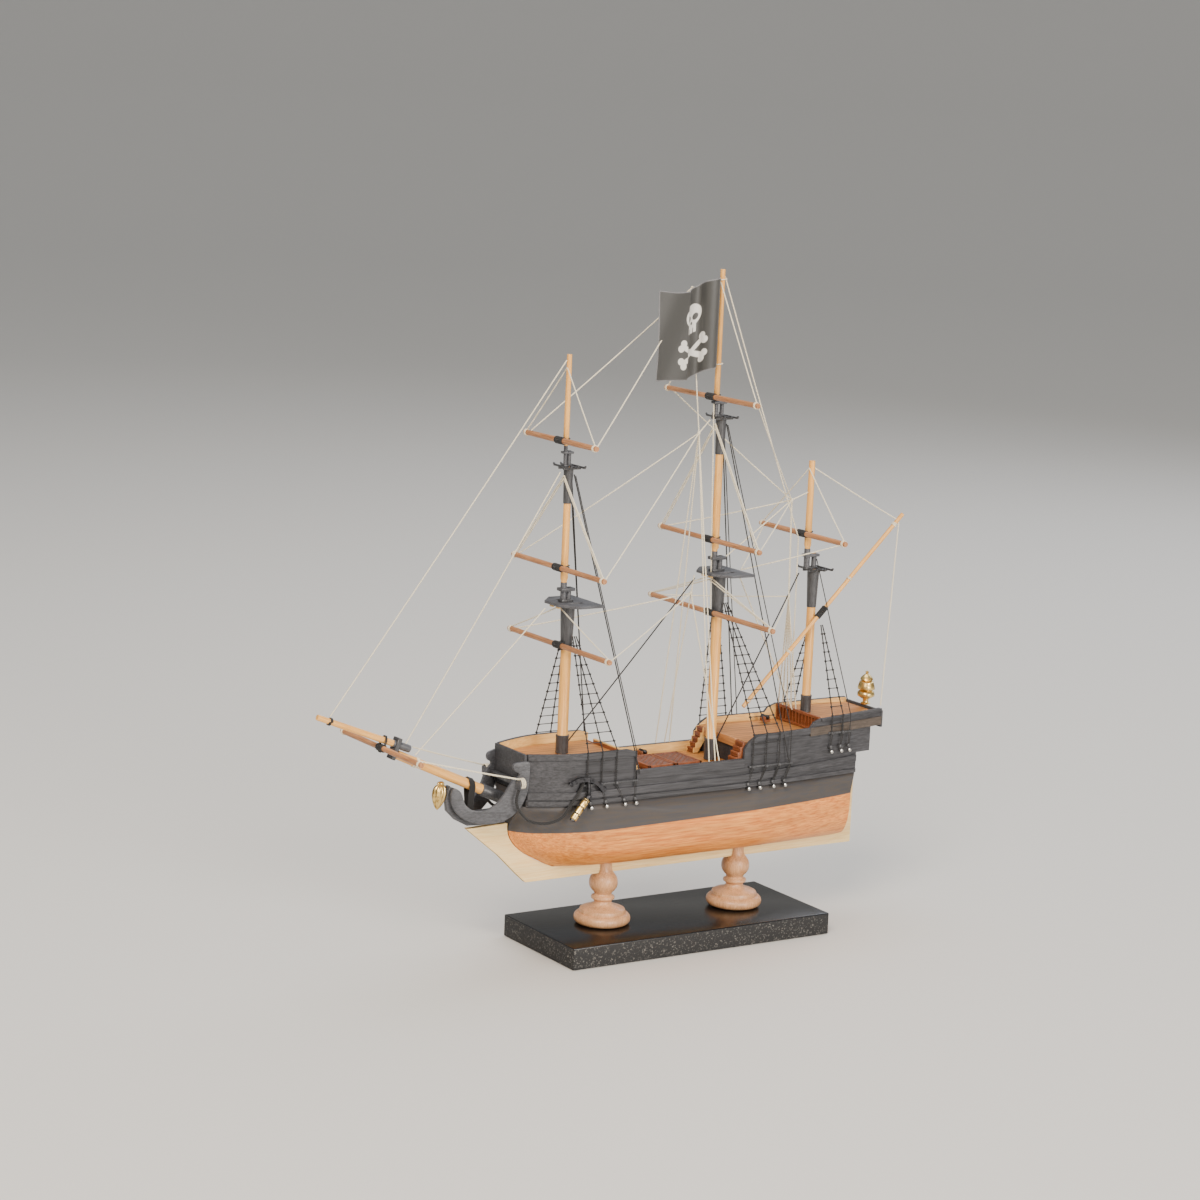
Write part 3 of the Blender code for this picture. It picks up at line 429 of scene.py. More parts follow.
# Black water stain on walnut: charcoal with brown fibres that stay visible.
BLACK_SIDE = Wood("black_stained_walnut_planks", "black_wood", "#48484c", "#2b2b2e",
                  Grain.ALONG_SHIP.value, (13.0, 0.7, 0.7), 0.55, 0.0, 0.5)
BROWN_STRIP = Wood("dark_walnut_strip", "black_wood", "#5c5148", "#40372f",
                   Grain.ALONG_SHIP.value, (12.0, 0.6, 0.6), 0.55, 0.0, 0.5)
BLACK_TRIM = Wood("black_stained_small_parts", "black_wood", "#4c4d50", "#2c2c2f",
                  Grain.UPRIGHT.value, (4.0, 0.5, 0.5), 0.42, 0.2, 0.3)
GREY_BLACK = Wood("black_stained_head_timber", "black_wood", "#5b5c61", "#3d3e42",
                  Grain.ALONG_SHIP.value, (5.0, 0.6, 0.6), 0.5, 0.05, 0.35)
# Tanganyika veneer: warm orange-brown planks with dark caulked seams.
DECK = Wood("tanganyika_deck_planks", "deck_wood", "#d0904e", "#a3662f",
            Grain.ALONG_SHIP.value, (11.0, 0.6, 0.6), 0.5, 0.1, 0.3, 3.2)
LINING = Wood("unstained_inner_bulwark", "deck_wood", "#f8cf86", "#e2ae62",
              Grain.ALONG_SHIP.value, (14.0, 0.8, 0.8), 0.5, 0.1, 0.3)
BEAM = Wood("tanganyika_beam", "deck_wood", "#cf955c", "#a86c3a", Grain.ACROSS_SHIP.value,
            (9.0, 0.6, 0.6), 0.5, 0.1, 0.3)
WALNUT = Wood("oiled_walnut_fittings", "walnut", "#9c5a34", "#6b3a20",
              Grain.ACROSS_SHIP.value, (6.0, 0.5, 0.5), 0.5, 0.05, 0.4)
YARD = Wood("walnut_dowel", "walnut", "#c08a5e", "#9a6239", Grain.ACROSS_SHIP.value,
            (10.0, 0.5, 0.5), 0.5, 0.1, 0.3)
# Ramin dowel: pale straw with hair-fine fibres along the spar.
MAST = Wood("ramin_dowel_upright", "mast_wood", "#f7bd67", "#e09c45", Grain.UPRIGHT.value,
            (13.0, 0.5, 0.5), 0.45, 0.15, 0.25)
BOWSPRIT_WOOD = Wood("ramin_dowel_bowsprit", "mast_wood", "#f7bd67", "#e09c45",
                     Grain.BOWSPRIT.value, (13.0, 0.5, 0.5), 0.45, 0.15, 0.25)
JIB_WOOD = Wood("ramin_dowel_jib_boom", "mast_wood", "#f7bd67", "#e09c45",
                Grain.JIB_BOOM.value, (13.0, 0.5, 0.5), 0.45, 0.15, 0.25)
LATEEN_WOOD = Wood("ramin_dowel_lateen", "mast_wood", "#f7bd67", "#e09c45",
                   Grain.LATEEN.value, (13.0, 0.5, 0.5), 0.45, 0.15, 0.25)
CREAM_THREAD = TwistedThread("natural_cotton_thread")
BLACK_THREAD = TwistedThread("black_cotton_thread", "black_thread", "#2b2a2b", "#121213")
GILT = CastMetal("gilt_cast_metal", "gold")
# Blackened white metal, almost matt.
BLACKED = CastMetal("blackened_cast_metal", "anchor_metal", "#4a4a4d", "#242426", 0.42)
BRIGHT_PIN = CastMetal("nickel_plated_pins", "anchor_metal", "#cfcdc8", "#8d8a86", 0.18)
FLAG_CLOTH = PrintedSatin("printed_black_satin", "flag_cloth")


# ---------------------------------------------------------------- making pieces


def deselect() -> None:
    """Go to object mode with nothing selected."""
    if bpy.context.mode != "OBJECT":
        bpy.ops.object.mode_set(mode="OBJECT")
    bpy.ops.object.select_all(action="DESELECT")


def pick(piece: bpy.types.Object) -> None:
    """Make one piece the only selected one."""
    deselect()
    piece.select_set(True)
    bpy.context.view_layer.objects.active = piece


def seated(name: str, place: Matrix | None = None) -> bpy.types.Object:
    """Close the work on the active piece: put its place in its mesh and name it.

    Args:
        name: the piece's name.
        place: where the mesh goes, or None if it is there already.

    Returns:
        The piece, smooth on its rounded faces.
    """
    if bpy.context.mode != "OBJECT":
        bpy.ops.object.mode_set(mode="OBJECT")
    piece = bpy.context.active_object
    pick(piece)
    bpy.ops.object.transform_apply(location=True, rotation=True, scale=True)
    if place is not None:
        piece.data.transform(place)
    piece.name = name
    piece.data.name = name
    bpy.ops.object.shade_smooth_by_angle(angle=math.radians(38.0))
    return piece


def eased(piece: bpy.types.Object, width: float, segments: int = 2) -> bpy.types.Object:
    """Round a piece's sharp edges with an applied bevel.

    Args:
        piece: the piece.
        width: width of the rounding in millimetres.
        segments: steps across the rounding.

    Returns:
        The same piece.
    """
    pick(piece)
    step = piece.modifiers.new("eased_edges", "BEVEL")
    step.width = width * MM
    step.segments = segments
    step.limit_method = "ANGLE"
    step.angle_limit = math.radians(35.0)
    bpy.ops.object.modifier_apply(modifier=step.name)
    bpy.ops.object.shade_smooth_by_angle(angle=math.radians(38.0))
    return piece


def block(name: str, size: Point, centre: Point, ease: float = 0.2,
          place: Matrix | None = None) -> bpy.types.Object:
    """Cut a block with eased edges.

    Args:
        name: the piece's name.
        size: its sides in millimetres.
        centre: its middle in millimetres.
        ease: width of the edge rounding.
        place: a further matrix for its mesh.

    Returns:
        The piece.
    """
    deselect()
    bpy.ops.mesh.primitive_cube_add(size=1.0, location=Vector(centre) * MM)
    bpy.ops.object.mode_set(mode="EDIT")
    bpy.ops.transform.resize(value=tuple(s * MM for s in size), center_override=Vector(centre) * MM)
    bpy.ops.mesh.bevel(offset=ease * MM, segments=2, affect="EDGES")
    return seated(name, place)


def turned(name: str, profile: Sequence[Flat], place: Matrix, sides: int = 24
           ) -> bpy.types.Object:
    """Turn a piece: a disc is drawn up its axis and resized at each height.

    Args:
        name: the piece's name.
        profile: radius and height pairs from foot to top, radii above zero.
        place: where the turned axis goes.
        sides: faces round the axis.

    Returns:
        The piece.
    """
    deselect()
    radius, height = profile[0]
    bpy.ops.mesh.primitive_circle_add(vertices=sides, radius=radius * MM, fill_type="NGON",
                                      location=(0.0, 0.0, height * MM))
    bpy.ops.object.mode_set(mode="EDIT")
    for wider, higher in profile[1:]:
        lift = (0.0, 0.0, (higher - height) * MM)
        bpy.ops.mesh.extrude_region_move(TRANSFORM_OT_translate={"value": lift})
        grow = wider / radius
        bpy.ops.transform.resize(value=(grow, grow, 1.0),
                                 center_override=(0.0, 0.0, higher * MM))
        radius, height = wider, higher
    bpy.ops.mesh.select_all(action="SELECT")
    bpy.ops.mesh.normals_make_consistent(inside=False)
    return seated(name, place)


def drawn_strip(name: str, path: Sequence[Point], across: float, heights: Sequence[float],
                ease: float = 0.15) -> bpy.types.Object:
    """Draw a strip of wood fore and aft along a path, upright in section.

    Args:
        name: the piece's name.
        path: the middle of the section at each station.
        across: its thickness.
        heights: its height at each station.
        ease: width of the edge rounding.

    Returns:
        The piece.
    """
    deselect()
    here = Vector(path[0]) * MM
    bpy.ops.mesh.primitive_plane_add(size=1.0, location=here, rotation=(0.0, math.pi / 2, 0.0))
    bpy.ops.object.mode_set(mode="EDIT")
    bpy.ops.transform.resize(value=(1.0, across * MM, heights[0] * MM), center_override=here)
    for point, old, new in zip(path[1:], heights, heights[1:]):
        there = Vector(point) * MM
        bpy.ops.mesh.extrude_region_move(TRANSFORM_OT_translate={"value": there - here})
        bpy.ops.transform.resize(value=(1.0, 1.0, new / old), center_override=there)
        here = there
    bpy.ops.mesh.select_all(action="SELECT")
    bpy.ops.mesh.normals_make_consistent(inside=False)
    piece = seated(name)
    return eased(piece, ease) if ease else piece


def sawn(name: str, loops: Sequence[Sequence[Flat]], thickness: float, place: Matrix,
         ease: float = 0.15) -> bpy.types.Object:
    """Saw a flat piece from sheet to closed outlines, the later ones holes.

    Args:
        name: the piece's name.
        loops: the outlines in the sheet's plane.
        thickness: the sheet's thickness.
        place: where the sheet's middle plane goes.
        ease: width of the edge rounding.

    Returns:
        The piece.
    """
    deselect()
    curve = bpy.data.curves.new(name, "CURVE")
    curve.dimensions = "2D"
    curve.fill_mode = "BOTH"
    curve.extrude = (thickness * 0.5 - ease) * MM
    curve.bevel_depth = ease * MM
    curve.bevel_resolution = 1
    curve.offset = -ease * MM
    for loop in loops:
        spline = curve.splines.new("POLY")
        spline.points.add(len(loop) - 1)
        for point, (across, up) in zip(spline.points, loop):
            point.co = (across * MM, up * MM, 0.0, 1.0)
        spline.use_cyclic_u = True
    piece = bpy.data.objects.new(name, curve)
    bpy.context.scene.collection.objects.link(piece)
    pick(piece)
    bpy.ops.object.convert(target="MESH")
    bpy.ops.object.mode_set(mode="EDIT")
    bpy.ops.mesh.select_all(action="SELECT")
    bpy.ops.mesh.remove_doubles(threshold=0.000002)
    bpy.ops.mesh.normals_make_consistent(inside=False)
    return seated(name, place)


def laid_thread(name: str, runs: Sequence[Sequence[Point]], radius: float,
                closed: bool = False, rounds: int = 1) -> bpy.types.Object:
    """Lay thread or wire along runs of points.

    Args:
        name: the piece's name.
        runs: one list of points for each run.
        radius: the thread's radius.
        closed: whether each run joins its own start.
        rounds: smoothness of the thread's section.

    Returns:
        The piece as a mesh.
    """
    deselect()
    curve = bpy.data.curves.new(name, "CURVE")
    curve.dimensions = "3D"
    curve.bevel_depth = radius * MM
    curve.bevel_resolution = rounds
    curve.use_fill_caps = not closed
    for run in runs:
        spline = curve.splines.new("POLY")
        spline.points.add(len(run) - 1)
        for point, where in zip(spline.points, run):
            point.co = (*(Vector(where) * MM), 1.0)
        spline.use_cyclic_u = closed
    piece = bpy.data.objects.new(name, curve)
    bpy.context.scene.collection.objects.link(piece)
    pick(piece)
    bpy.ops.object.convert(target="MESH")
    return seated(name)


def fused(name: str, pieces: Sequence[bpy.types.Object]) -> bpy.types.Object:
    """Glue several shapes into one piece.

    Args:
        name: the new piece's name.
        pieces: the shapes, which are used up.

    Returns:
        The piece.
    """
    deselect()
    for piece in pieces:
        piece.select_set(True)
    bpy.context.view_layer.objects.active = pieces[0]
    bpy.ops.object.join()
    return seated(name)


def copied(piece: bpy.types.Object, name: str, place: Matrix) -> bpy.types.Object:
    """Copy a piece with its own mesh, turned outwards again if the place mirrors it.

    Args:
        piece: the piece to copy.
        name: the copy's name.
        place: the matrix for the copy's mesh.

    Returns:
        The copy, with the piece's materials.
    """
    mesh = piece.data.copy()
    mesh.transform(place)
    if place.determinant() < 0.0:
        mesh.flip_normals()
    mesh.name = name
    twin = bpy.data.objects.new(name, mesh)
    bpy.context.scene.collection.objects.link(twin)
    return twin


def refined(node: str, name: str, ease: float = 0.0) -> bpy.types.Object:
    """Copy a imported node, merge its loose triangles and give it smooth faces.

    Args:
        node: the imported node.
        name: the new piece's name.
        ease: width of the edge rounding, if any.

    Returns:
        The piece.
    """
    piece = copied(bpy.data.objects[node], name, Matrix.Identity(4))
    piece.data.materials.clear()
    pick(piece)
    bpy.ops.object.mode_set(mode="EDIT")
    bpy.ops.mesh.select_all(action="SELECT")
    bpy.ops.mesh.remove_doubles(threshold=0.000002)
    bpy.ops.mesh.dissolve_limited(angle_limit=math.radians(0.5))
    bpy.ops.object.mode_set(mode="OBJECT")
    bpy.ops.object.shade_smooth_by_angle(angle=math.radians(38.0))
    return eased(piece, ease) if ease else piece


def dress(piece: bpy.types.Object, finish: Finish, body: str | None = "ship",
          stands_for: Sequence[str] = ()) -> bpy.types.Object:
    """Give a piece its finish and the body it moves with.

    Args:
        piece: the piece.
        finish: its surface.
        body: the body it rides on, or None to leave it on no body.
        stands_for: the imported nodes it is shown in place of.

    Returns:
        The same piece.
    """
    piece.data.materials.clear()
    piece.data.materials.append(finish.material())
    if body is not None:
        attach(piece, body)
    if stands_for:
        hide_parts(*stands_for)
    LOG.info("%s in %s", piece.name, finish.title)
    return piece


def at(x: float, y: float, z: float, turn: Euler | None = None) -> Matrix:
    """Return the matrix of a place in millimetres and an optional turn."""
    moved = Matrix.Translation(Vector((x, y, z)) * MM)
    return moved if turn is None else moved @ turn.to_matrix().to_4x4()


def pointed(start: Point, end: Point) -> Matrix:
    """Return the matrix that lays the turned axis from one point towards another."""
    run = Vector(end) - Vector(start)
    return Matrix.Translation(Vector(start) * MM) @ run.to_track_quat("Z", "Y").to_matrix().to_4x4()


MIRROR = Matrix.Diagonal((1.0, -1.0, 1.0, 1.0))


def mix(a: float, b: float, t: float) -> float:
    """Return the value a fraction t of the way from a to b."""
    return a + (b - a) * t


def flowing(points: Sequence[Flat], steps: int = 4, closed: bool = True) -> list[Flat]:
    """Return a smooth outline through the given points.

    Args:
        points: the corners.
        steps: points made for each side.
        closed: whether the outline joins its start.

    Returns:
        The denser outline.
    """
    count = len(points)
    made: list[Flat] = []
    for i in range(count if closed else count - 1):
        p0, p1, p2, p3 = (points[j % count] if closed else points[min(max(j, 0), count - 1)]
                          for j in (i - 1, i, i + 1, i + 2))
        for k in range(steps):
            t = k / steps
            made.append(tuple(0.5 * (2.0 * b + (c - a) * t + (2.0 * a - 5.0 * b + 4.0 * c - d)
                              * t * t + (3.0 * b - a - 3.0 * c + d) * t ** 3)
                        for a, b, c, d in zip(p0, p1, p2, p3)))
    return made if closed else made + [points[-1]]


def sagging(start: Point, end: Point, spare: float = 0.004, steps: int = 6) -> list[Point]:
    """Return the points of a thread between two ends.

    Args:
        start: one end.
        end: the other end.
        spare: sag as a share of the span.
        steps: stretches along it.

    Returns:
        The points.
    """
    span = (Vector(end) - Vector(start)).length
    points = []
    for i in range(steps + 1):
        t = i / steps
        x, y, z = (mix(a, b, t) for a, b in zip(start, end))
        points.append((x, y, z - 4.0 * t * (1.0 - t) * spare * span))
    return points


# ---------------------------------------------------------------- the ship's lines


@dataclass(frozen=True)
class HullLines:
    """Plan and sheer of the hull's sides, shared by everything that follows them."""

    half_beam: float = 21.0
    beakhead_x: float = -87.7
    beakhead_half: float = 12.8
    taffrail_x: float = 106.2

    def half_breadth(self, x: float) -> float:
        """Return the half-breadth along the side panels at a station."""
        if x < -62.0:
            t = (-62.0 - x) / (-62.0 - self.beakhead_x)
            return self.half_beam - (self.half_beam - self.beakhead_half) * min(t, 1.05) ** 1.6
        if x > 20.0:
            return self.half_beam - self.half_beam / 3.0 * ((x - 20.0) / 87.0) ** 1.8
        return self.half_beam

    def rail(self, x: float) -> float:
        """Return the height of the side panels' top edge at a station."""
        steps = [(self.beakhead_x, 95.5), (-40.0, 95.5), (-35.6, 94.3), (-35.5, 85.6),
                 (23.3, 85.6), (23.4, 90.0), (26.0, 93.2), (30.0, 95.8), (61.5, 96.2),
                 (63.5, 98.6), (67.6, 100.0), (self.taffrail_x, 101.2)]
        for (x0, z0), (x1, z1) in zip(steps, steps[1:]):
            if x <= x1:
                return mix(z0, z1, max(x - x0, 0.0) / (x1 - x0))
        return steps[-1][1]

    def stations(self, first: float, last: float, pitch: float = 4.0) -> list[float]:
        """Return stations between two ends, about a pitch apart."""
        count = max(round((last - first) / pitch), 1)
        return [mix(first, last, i / count) for i in range(count + 1)]


LINES = HullLines()


# ---------------------------------------------------------------- stand and hull


@dataclass
class Stand:
    """Lacquered board and two turned beech pedestals, slotted for the keel."""

    pedestal_x: float = 36.5
    board_height: float = 10.0
    pedestal_height: float = 29.8
    slot_depth: float = 6.0
    slot_width: float = 3.6

    def build(self) -> None:
        """Dress the board and turn both pedestals."""
        board = refined("base_board", "lacquered_board")
        dress(board, BOARD, "stand", ["base_board"])
        for node, x in (("pedestal_fore", -self.pedestal_x), ("pedestal_aft", self.pedestal_x)):
            dress(self.pedestal(node + "_turning", x), BEECH, "stand", [node])

    def pedestal(self, name: str, x: float) -> bpy.types.Object:
        """Turn one pedestal and cut its slot.

        Args:
            name: the piece's name.
            x: its station.

        Returns:
            The piece.
        """
        top = self.pedestal_height
        rings = [(10.9, 0.3), (11.9, 0.7), (12.7, 1.6), (12.95, 2.8), (12.7, 3.9), (12.0, 4.7),
                 (11.2, 5.2), (10.5, 5.3), (10.55, 6.2), (10.2, 7.0), (9.2, 7.5), (6.8, 8.2),
                 (4.9, 8.9), (4.1, 9.8), (4.0, 10.6), (4.5, 11.2), (5.3, 11.7), (5.45, 12.3),
                 (5.2, 12.9), (4.2, 13.4), (3.9, 14.0), (4.4, 14.9), (5.4, 15.9), (6.2, 17.1),
                 (6.55, 18.6), (6.5, 20.2), (6.1, 21.6), (5.2, 23.0), (4.2, 24.2), (3.7, 25.4),
                 (3.55, 27.4), (3.6, top - 0.5), (3.3, top)]
        piece = turned(name, rings, at(x, 0.0, self.board_height), 56)
        slot = block("slot", (20.0, self.slot_width, 12.0),
                     (x, 0.0, self.board_height + top - self.slot_depth + 6.0), 0.05)
        pick(piece)
        cut = piece.modifiers.new("slot", "BOOLEAN")
        cut.operation = "DIFFERENCE"
        cut.solver = "EXACT"
        cut.object = slot
        bpy.ops.object.modifier_apply(modifier=cut.name)
        bpy.data.objects.remove(slot, do_unlink=True)
        pick(piece)
        bpy.ops.object.shade_smooth_by_angle(angle=math.radians(38.0))
        return piece


@dataclass
class Hull:
    """Carved block on a plywood keel, with stained side panels, strips, decks and stern."""

    strip_thickness: float = 0.8

    def build(self) -> None:
        """Dress the hull from the keel up."""
        dress(refined("keel", "plywood_keel", 0.15), PLYWOOD, "ship", ["keel"])
        dress(refined("hull_block", "carved_hull"), HULL, "ship", ["hull_block"])
        self.panels()
        self.strips()
        self.decks()
        self.stern()

    def panels(self) -> None:
        """Stain the side panels outside and leave them natural inside."""
        for node, side in (("side_panel_port", -1.0), ("side_panel_starboard", 1.0)):
            piece = dress(refined(node, node + "_planking"), BLACK_SIDE, "ship", [node])
            piece.data.materials.append(LINING.material())
            for face in piece.data.polygons:
                if face.normal.y * side < -0.5:
                    face.material_index = 1

    def strip(self, name: str, first: float, last: float, middle: Sequence[Flat],
              height: float, finish: Finish, proud: float = 0.0, ease: float = 0.2) -> None:
        """Glue one strip along each side.

        Args:
            name: the strip's name, to which the side is added.
            first: its first station.
            last: its last station.
            middle: station and height pairs of its middle line, or none to follow the rail.
            height: its height.
            finish: its surface.
            proud: how much further out it stands than the other strips.
            ease: width of the edge rounding.
        """
        stations = LINES.stations(first, last)
        path = []
        for x in stations:
            z = LINES.rail(x) - height * 0.5 + 0.05
            for (x0, z0), (x1, z1) in zip(middle, middle[1:]):
                if x0 <= x <= x1:
                    z = mix(z0, z1, (x - x0) / (x1 - x0))
            out = LINES.half_breadth(x) + (self.strip_thickness + proud) * 0.5 - 0.1
            path.append((x, -out, z))
        port = drawn_strip(name + "_port", path, self.strip_thickness + proud,
                           [height] * len(path), ease)
        starboard = copied(port, name + "_starboard", MIRROR)
        dress(port, finish)
        dress(starboard, finish)

    def strips(self) -> None:
        """Caps along the rails, the wale, the ledge over the block and the poop band."""
        self.strip("forecastle_cap", -87.5, -35.7, [], 2.7, BLACK_SIDE)
        self.strip("waist_cap", -35.4, 23.2, [], 4.1, BLACK_SIDE)
        self.strip("quarter_cap", 27.0, 61.0, [], 2.6, BLACK_SIDE)
        self.strip("poop_band", 61.0, 106.0, [(60.0, 94.4), (107.0, 95.4)], 4.0, BROWN_STRIP)
        self.strip("poop_cap", 67.8, 106.0, [], 1.3, BLACK_SIDE)
        self.strip("wale", -87.4, 90.6, [(-88.0, 76.9), (20.0, 76.6), (99.0, 79.4)], 3.2,
                   BLACK_SIDE, 0.25)
        self.strip("lower_ledge", -87.2, 90.8, [(-88.0, 73.6), (92.0, 73.2)], 1.9, BLACK_SIDE)

    def decks(self) -> None:
        """Plank the decks and close their ends with black-stained boards; the board at the
        quarterdeck's front is painted shade for the dark space under that deck.
        """
        for node in ("forecastle_deck", "main_deck", "quarterdeck", "poop_deck"):
            dress(refined(node, node + "_planks"), DECK, "ship", [node])
        # The thin black board on the quarterdeck's front paints the shade of the space under that deck.
        for name, x, low, high in (("quarterdeck_painted_shade_board", 24.92, 81.35, 92.6),
                                   ("forecastle_bulkhead", -37.42, 81.35, 90.8)):
            board = block(name, (0.26, 37.6, high - low), (x, 0.0, (low + high) * 0.5), 0.05)
            dress(board, BLACK_SIDE)
        dress(block("quarterdeck_beam", (1.2, 25.2, 4.1), (24.2, 0.0, 91.25), 0.2), BEAM)
        dress(block("forecastle_beam", (1.2, 25.2, 4.0), (-36.7, 0.0, 90.5), 0.2), WALNUT)
        dress(block("forecastle_beam_edge", (1.3, 25.2, 0.6), (-36.7, 0.0, 92.75), 0.15), LINING)
        bulkhead = refined("beakhead_bulkhead", "beakhead_board", 0.2)
        dress(bulkhead, BLACK_SIDE, "ship", ["beakhead_bulkhead"])

    def stern(self) -> None:
        """Stern gallery with mouldings and mullions, and the taffrail."""
        dress(refined("stern_gallery", "gallery_block", 0.2), BROWN_STRIP, "ship",
              ["stern_gallery"])
        dress(refined("taffrail", "taffrail_board", 0.2), BLACK_SIDE, "ship", ["taffrail"])
        half = LINES.half_breadth(99.0) - 2.0
        for name, z, height in (("gallery_sill", 82.2, 1.2), ("gallery_head", 92.0, 1.2)):
            dress(block(name, (0.7, half * 2.0, height), (99.9, 0.0, z), 0.2), BLACK_TRIM)
        uprights = [block("upright", (0.6, 0.9, 8.6), (99.85, half * k / 3.0 * 0.94, 87.1), 0.15)
                    for k in range(-3, 4)]
        dress(fused("gallery_mullions", uprights), BLACK_TRIM)


@dataclass
class Head:
    """Beakhead: knee, two hooked head rails, figurehead, catheads and gammoning."""

    rail_thickness: float = 1.6

    def build(self) -> None:
        """Build the head from the knee out."""
        dress(refined("head_knee", "knee_of_the_head", 0.3), GREY_BLACK, "ship", ["head_knee"])
        self.rails()
        self.catheads()
        self.figurehead()
        self.gammoning()

    def rails(self) -> None:
        """Saw one head rail with its knob, notch and scroll, and mirror it."""
        inner = [(-87.0, 92.0), (-90.5, 92.4), (-93.4, 91.7), (-94.0, 90.0), (-93.2, 88.4),
                 (-91.6, 87.6), (-91.2, 86.3), (-92.2, 85.5), (-93.8, 84.2), (-95.4, 81.6),
                 (-97.2, 78.2), (-99.6, 74.8), (-102.6, 72.2), (-106.6, 70.9), (-110.6, 71.4),
                 (-113.4, 73.6), (-114.6, 76.4), (-115.4, 79.0), (-117.2, 80.8)]
        outer = [(-119.0, 80.8), (-119.9, 78.2), (-119.4, 74.0), (-117.4, 70.2), (-113.8, 67.1),
                 (-108.6, 65.2), (-103.0, 64.8), (-97.6, 66.0), (-92.8, 69.0), (-89.6, 73.2),
                 (-87.6, 78.4), (-87.0, 84.0)]
        outline = flowing(inner + outer, 3)
        slant = Matrix.Identity(4)
        slant[1][0] = -10.2 / 31.0
        slant[1][3] = -(12.9 + 89.0 * 10.2 / 31.0) * MM
        upright = Euler((math.pi / 2, 0.0, 0.0)).to_matrix().to_4x4()
        port = sawn("head_rail_port_timber", [outline], self.rail_thickness, slant @ upright, 0.3)
        starboard = copied(port, "head_rail_starboard_timber", MIRROR)
        dress(port, GREY_BLACK, "ship", ["head_rail_port"])
        dress(starboard, GREY_BLACK, "ship", ["head_rail_starboard"])

    def catheads(self) -> None:
        """Beam with a block at each end and the rope that holds the anchor cable."""
        beam = block("cathead_timber", (2.4, 20.6, 2.4), (-90.9, 0.0, 82.6), 0.3)
        dress(beam, BLACK_TRIM, "ship", ["cathead_beam"])
        for end, side in (("port", -1.0), ("starboard", 1.0)):
            arm = block("cathead_" + end, (3.6, 3.4, 4.2), (-91.2, side * 15.1, 82.6), 0.4)
            dress(arm, GREY_BLACK)
            rings = []
            for k in range(3):
                x = -92.2 + 0.75 * k
                rings.append([(x, side * 15.1 + 2.3 * math.cos(a * math.pi / 6),
                               83.4 + 2.3 * math.sin(a * math.pi / 6)) for a in range(12)])
            dress(laid_thread("cathead_rope_" + end, rings, 0.32, True), CREAM_THREAD)

    def figurehead(self) -> None:
        """Cast a fluted shell that ends in a point below and a small curl above."""
        rings = [(0.15, 71.4), (0.9, 72.3), (1.7, 73.8), (2.4, 75.6), (2.8, 77.6), (2.85, 79.4),
                 (2.5, 81.0), (1.9, 82.0), (1.3, 82.4), (1.5, 83.0), (1.1, 83.7), (0.4, 84.0)]
        piece = turned("fluted_figurehead", rings, Matrix.Identity(4), 32)
        for vertex in piece.data.vertices:
            around = math.atan2(vertex.co.y, vertex.co.x)
            flute = 1.0 + 0.22 * math.cos(8.0 * around)
            lean = (vertex.co.z / MM - 77.7) * 0.12
            vertex.co.x = (vertex.co.x / MM * flute + lean - 124.0) * MM
            vertex.co.y = vertex.co.y * flute * 0.85
        dress(piece, GILT, "ship", ["figurehead"])
        grip = block("figurehead_seat", (2.4, 1.6, 5.0), (-121.1, 0.0, 77.5), 0.4)
        dress(grip, GREY_BLACK)

    def gammoning(self) -> None:
        """Lash the bowsprit down to the knee with side-by-side turns of black thread."""
        turns = []
        for k in range(5):
            x = -110.0 + 0.6 * k
            top = 81.4 + (-109.0 - x) * 0.45
            turns.append([(x, 2.75, top), (x, 2.0, top + 2.1), (x, 0.0, top + 2.95),
                          (x, -2.0, top + 2.1), (x, -2.75, top), (x, -1.6, 74.0),
                          (x, -1.5, 69.6), (x, 0.0, 68.8), (x, 1.5, 69.6), (x, 1.6, 74.0)])
        dress(laid_thread("bowsprit_gammoning", turns, 0.32, True), BLACK_THREAD)


# ---------------------------------------------------------------- deck fittings


@dataclass
class Ladder:
    """A ladder of five treads between two stepped side boards."""

    node: str
    foot_x: float
    side_y: float
    low: float
    high: float
    rises_aft: bool
    boards: Finish
    run: float = 6.0
    width: float = 6.0
    treads: int = 5

    def build(self) -> None:
        """Saw the side boards and fit the treads."""
        way = 1.0 if self.rises_aft else -1.0
        climb = self.high - self.low
        outline: list[Flat] = [(0.0, 0.0)]
        steps = []
        for i in range(self.treads):
            level = climb * (i + 1) / self.treads
            outline.append((way * self.run * i / self.treads, level))
            outline.append((way * self.run * (i + 1) / self.treads, level))
            middle = self.foot_x + way * self.run * (i + 0.5) / self.treads
            steps.append(block("tread", (self.run / self.treads + 0.3, self.width - 1.4, 0.8),
                               (middle, self.side_y, self.low + level - 0.5), 0.12))
            steps.append(block("riser", (0.4, self.width - 1.4, climb / self.treads),
                               (self.foot_x + way * (self.run * i / self.treads + 0.35),
                                self.side_y, self.low + level - climb / self.treads * 0.5), 0.05))
        outline += [(way * self.run, climb * 0.5), (way * self.run * 0.4, 0.0)]
        sides = [sawn("board", [outline], 0.7, at(self.foot_x, self.side_y + y, self.low,
                      Euler((math.pi / 2, 0.0, 0.0))), 0.1)
                 for y in (-self.width * 0.5 + 0.35, self.width * 0.5 - 0.35)]
        dress(fused(self.node + "_treads", steps), WALNUT, "ship", [self.node])
        dress(fused(self.node + "_boards", sides), self.boards)


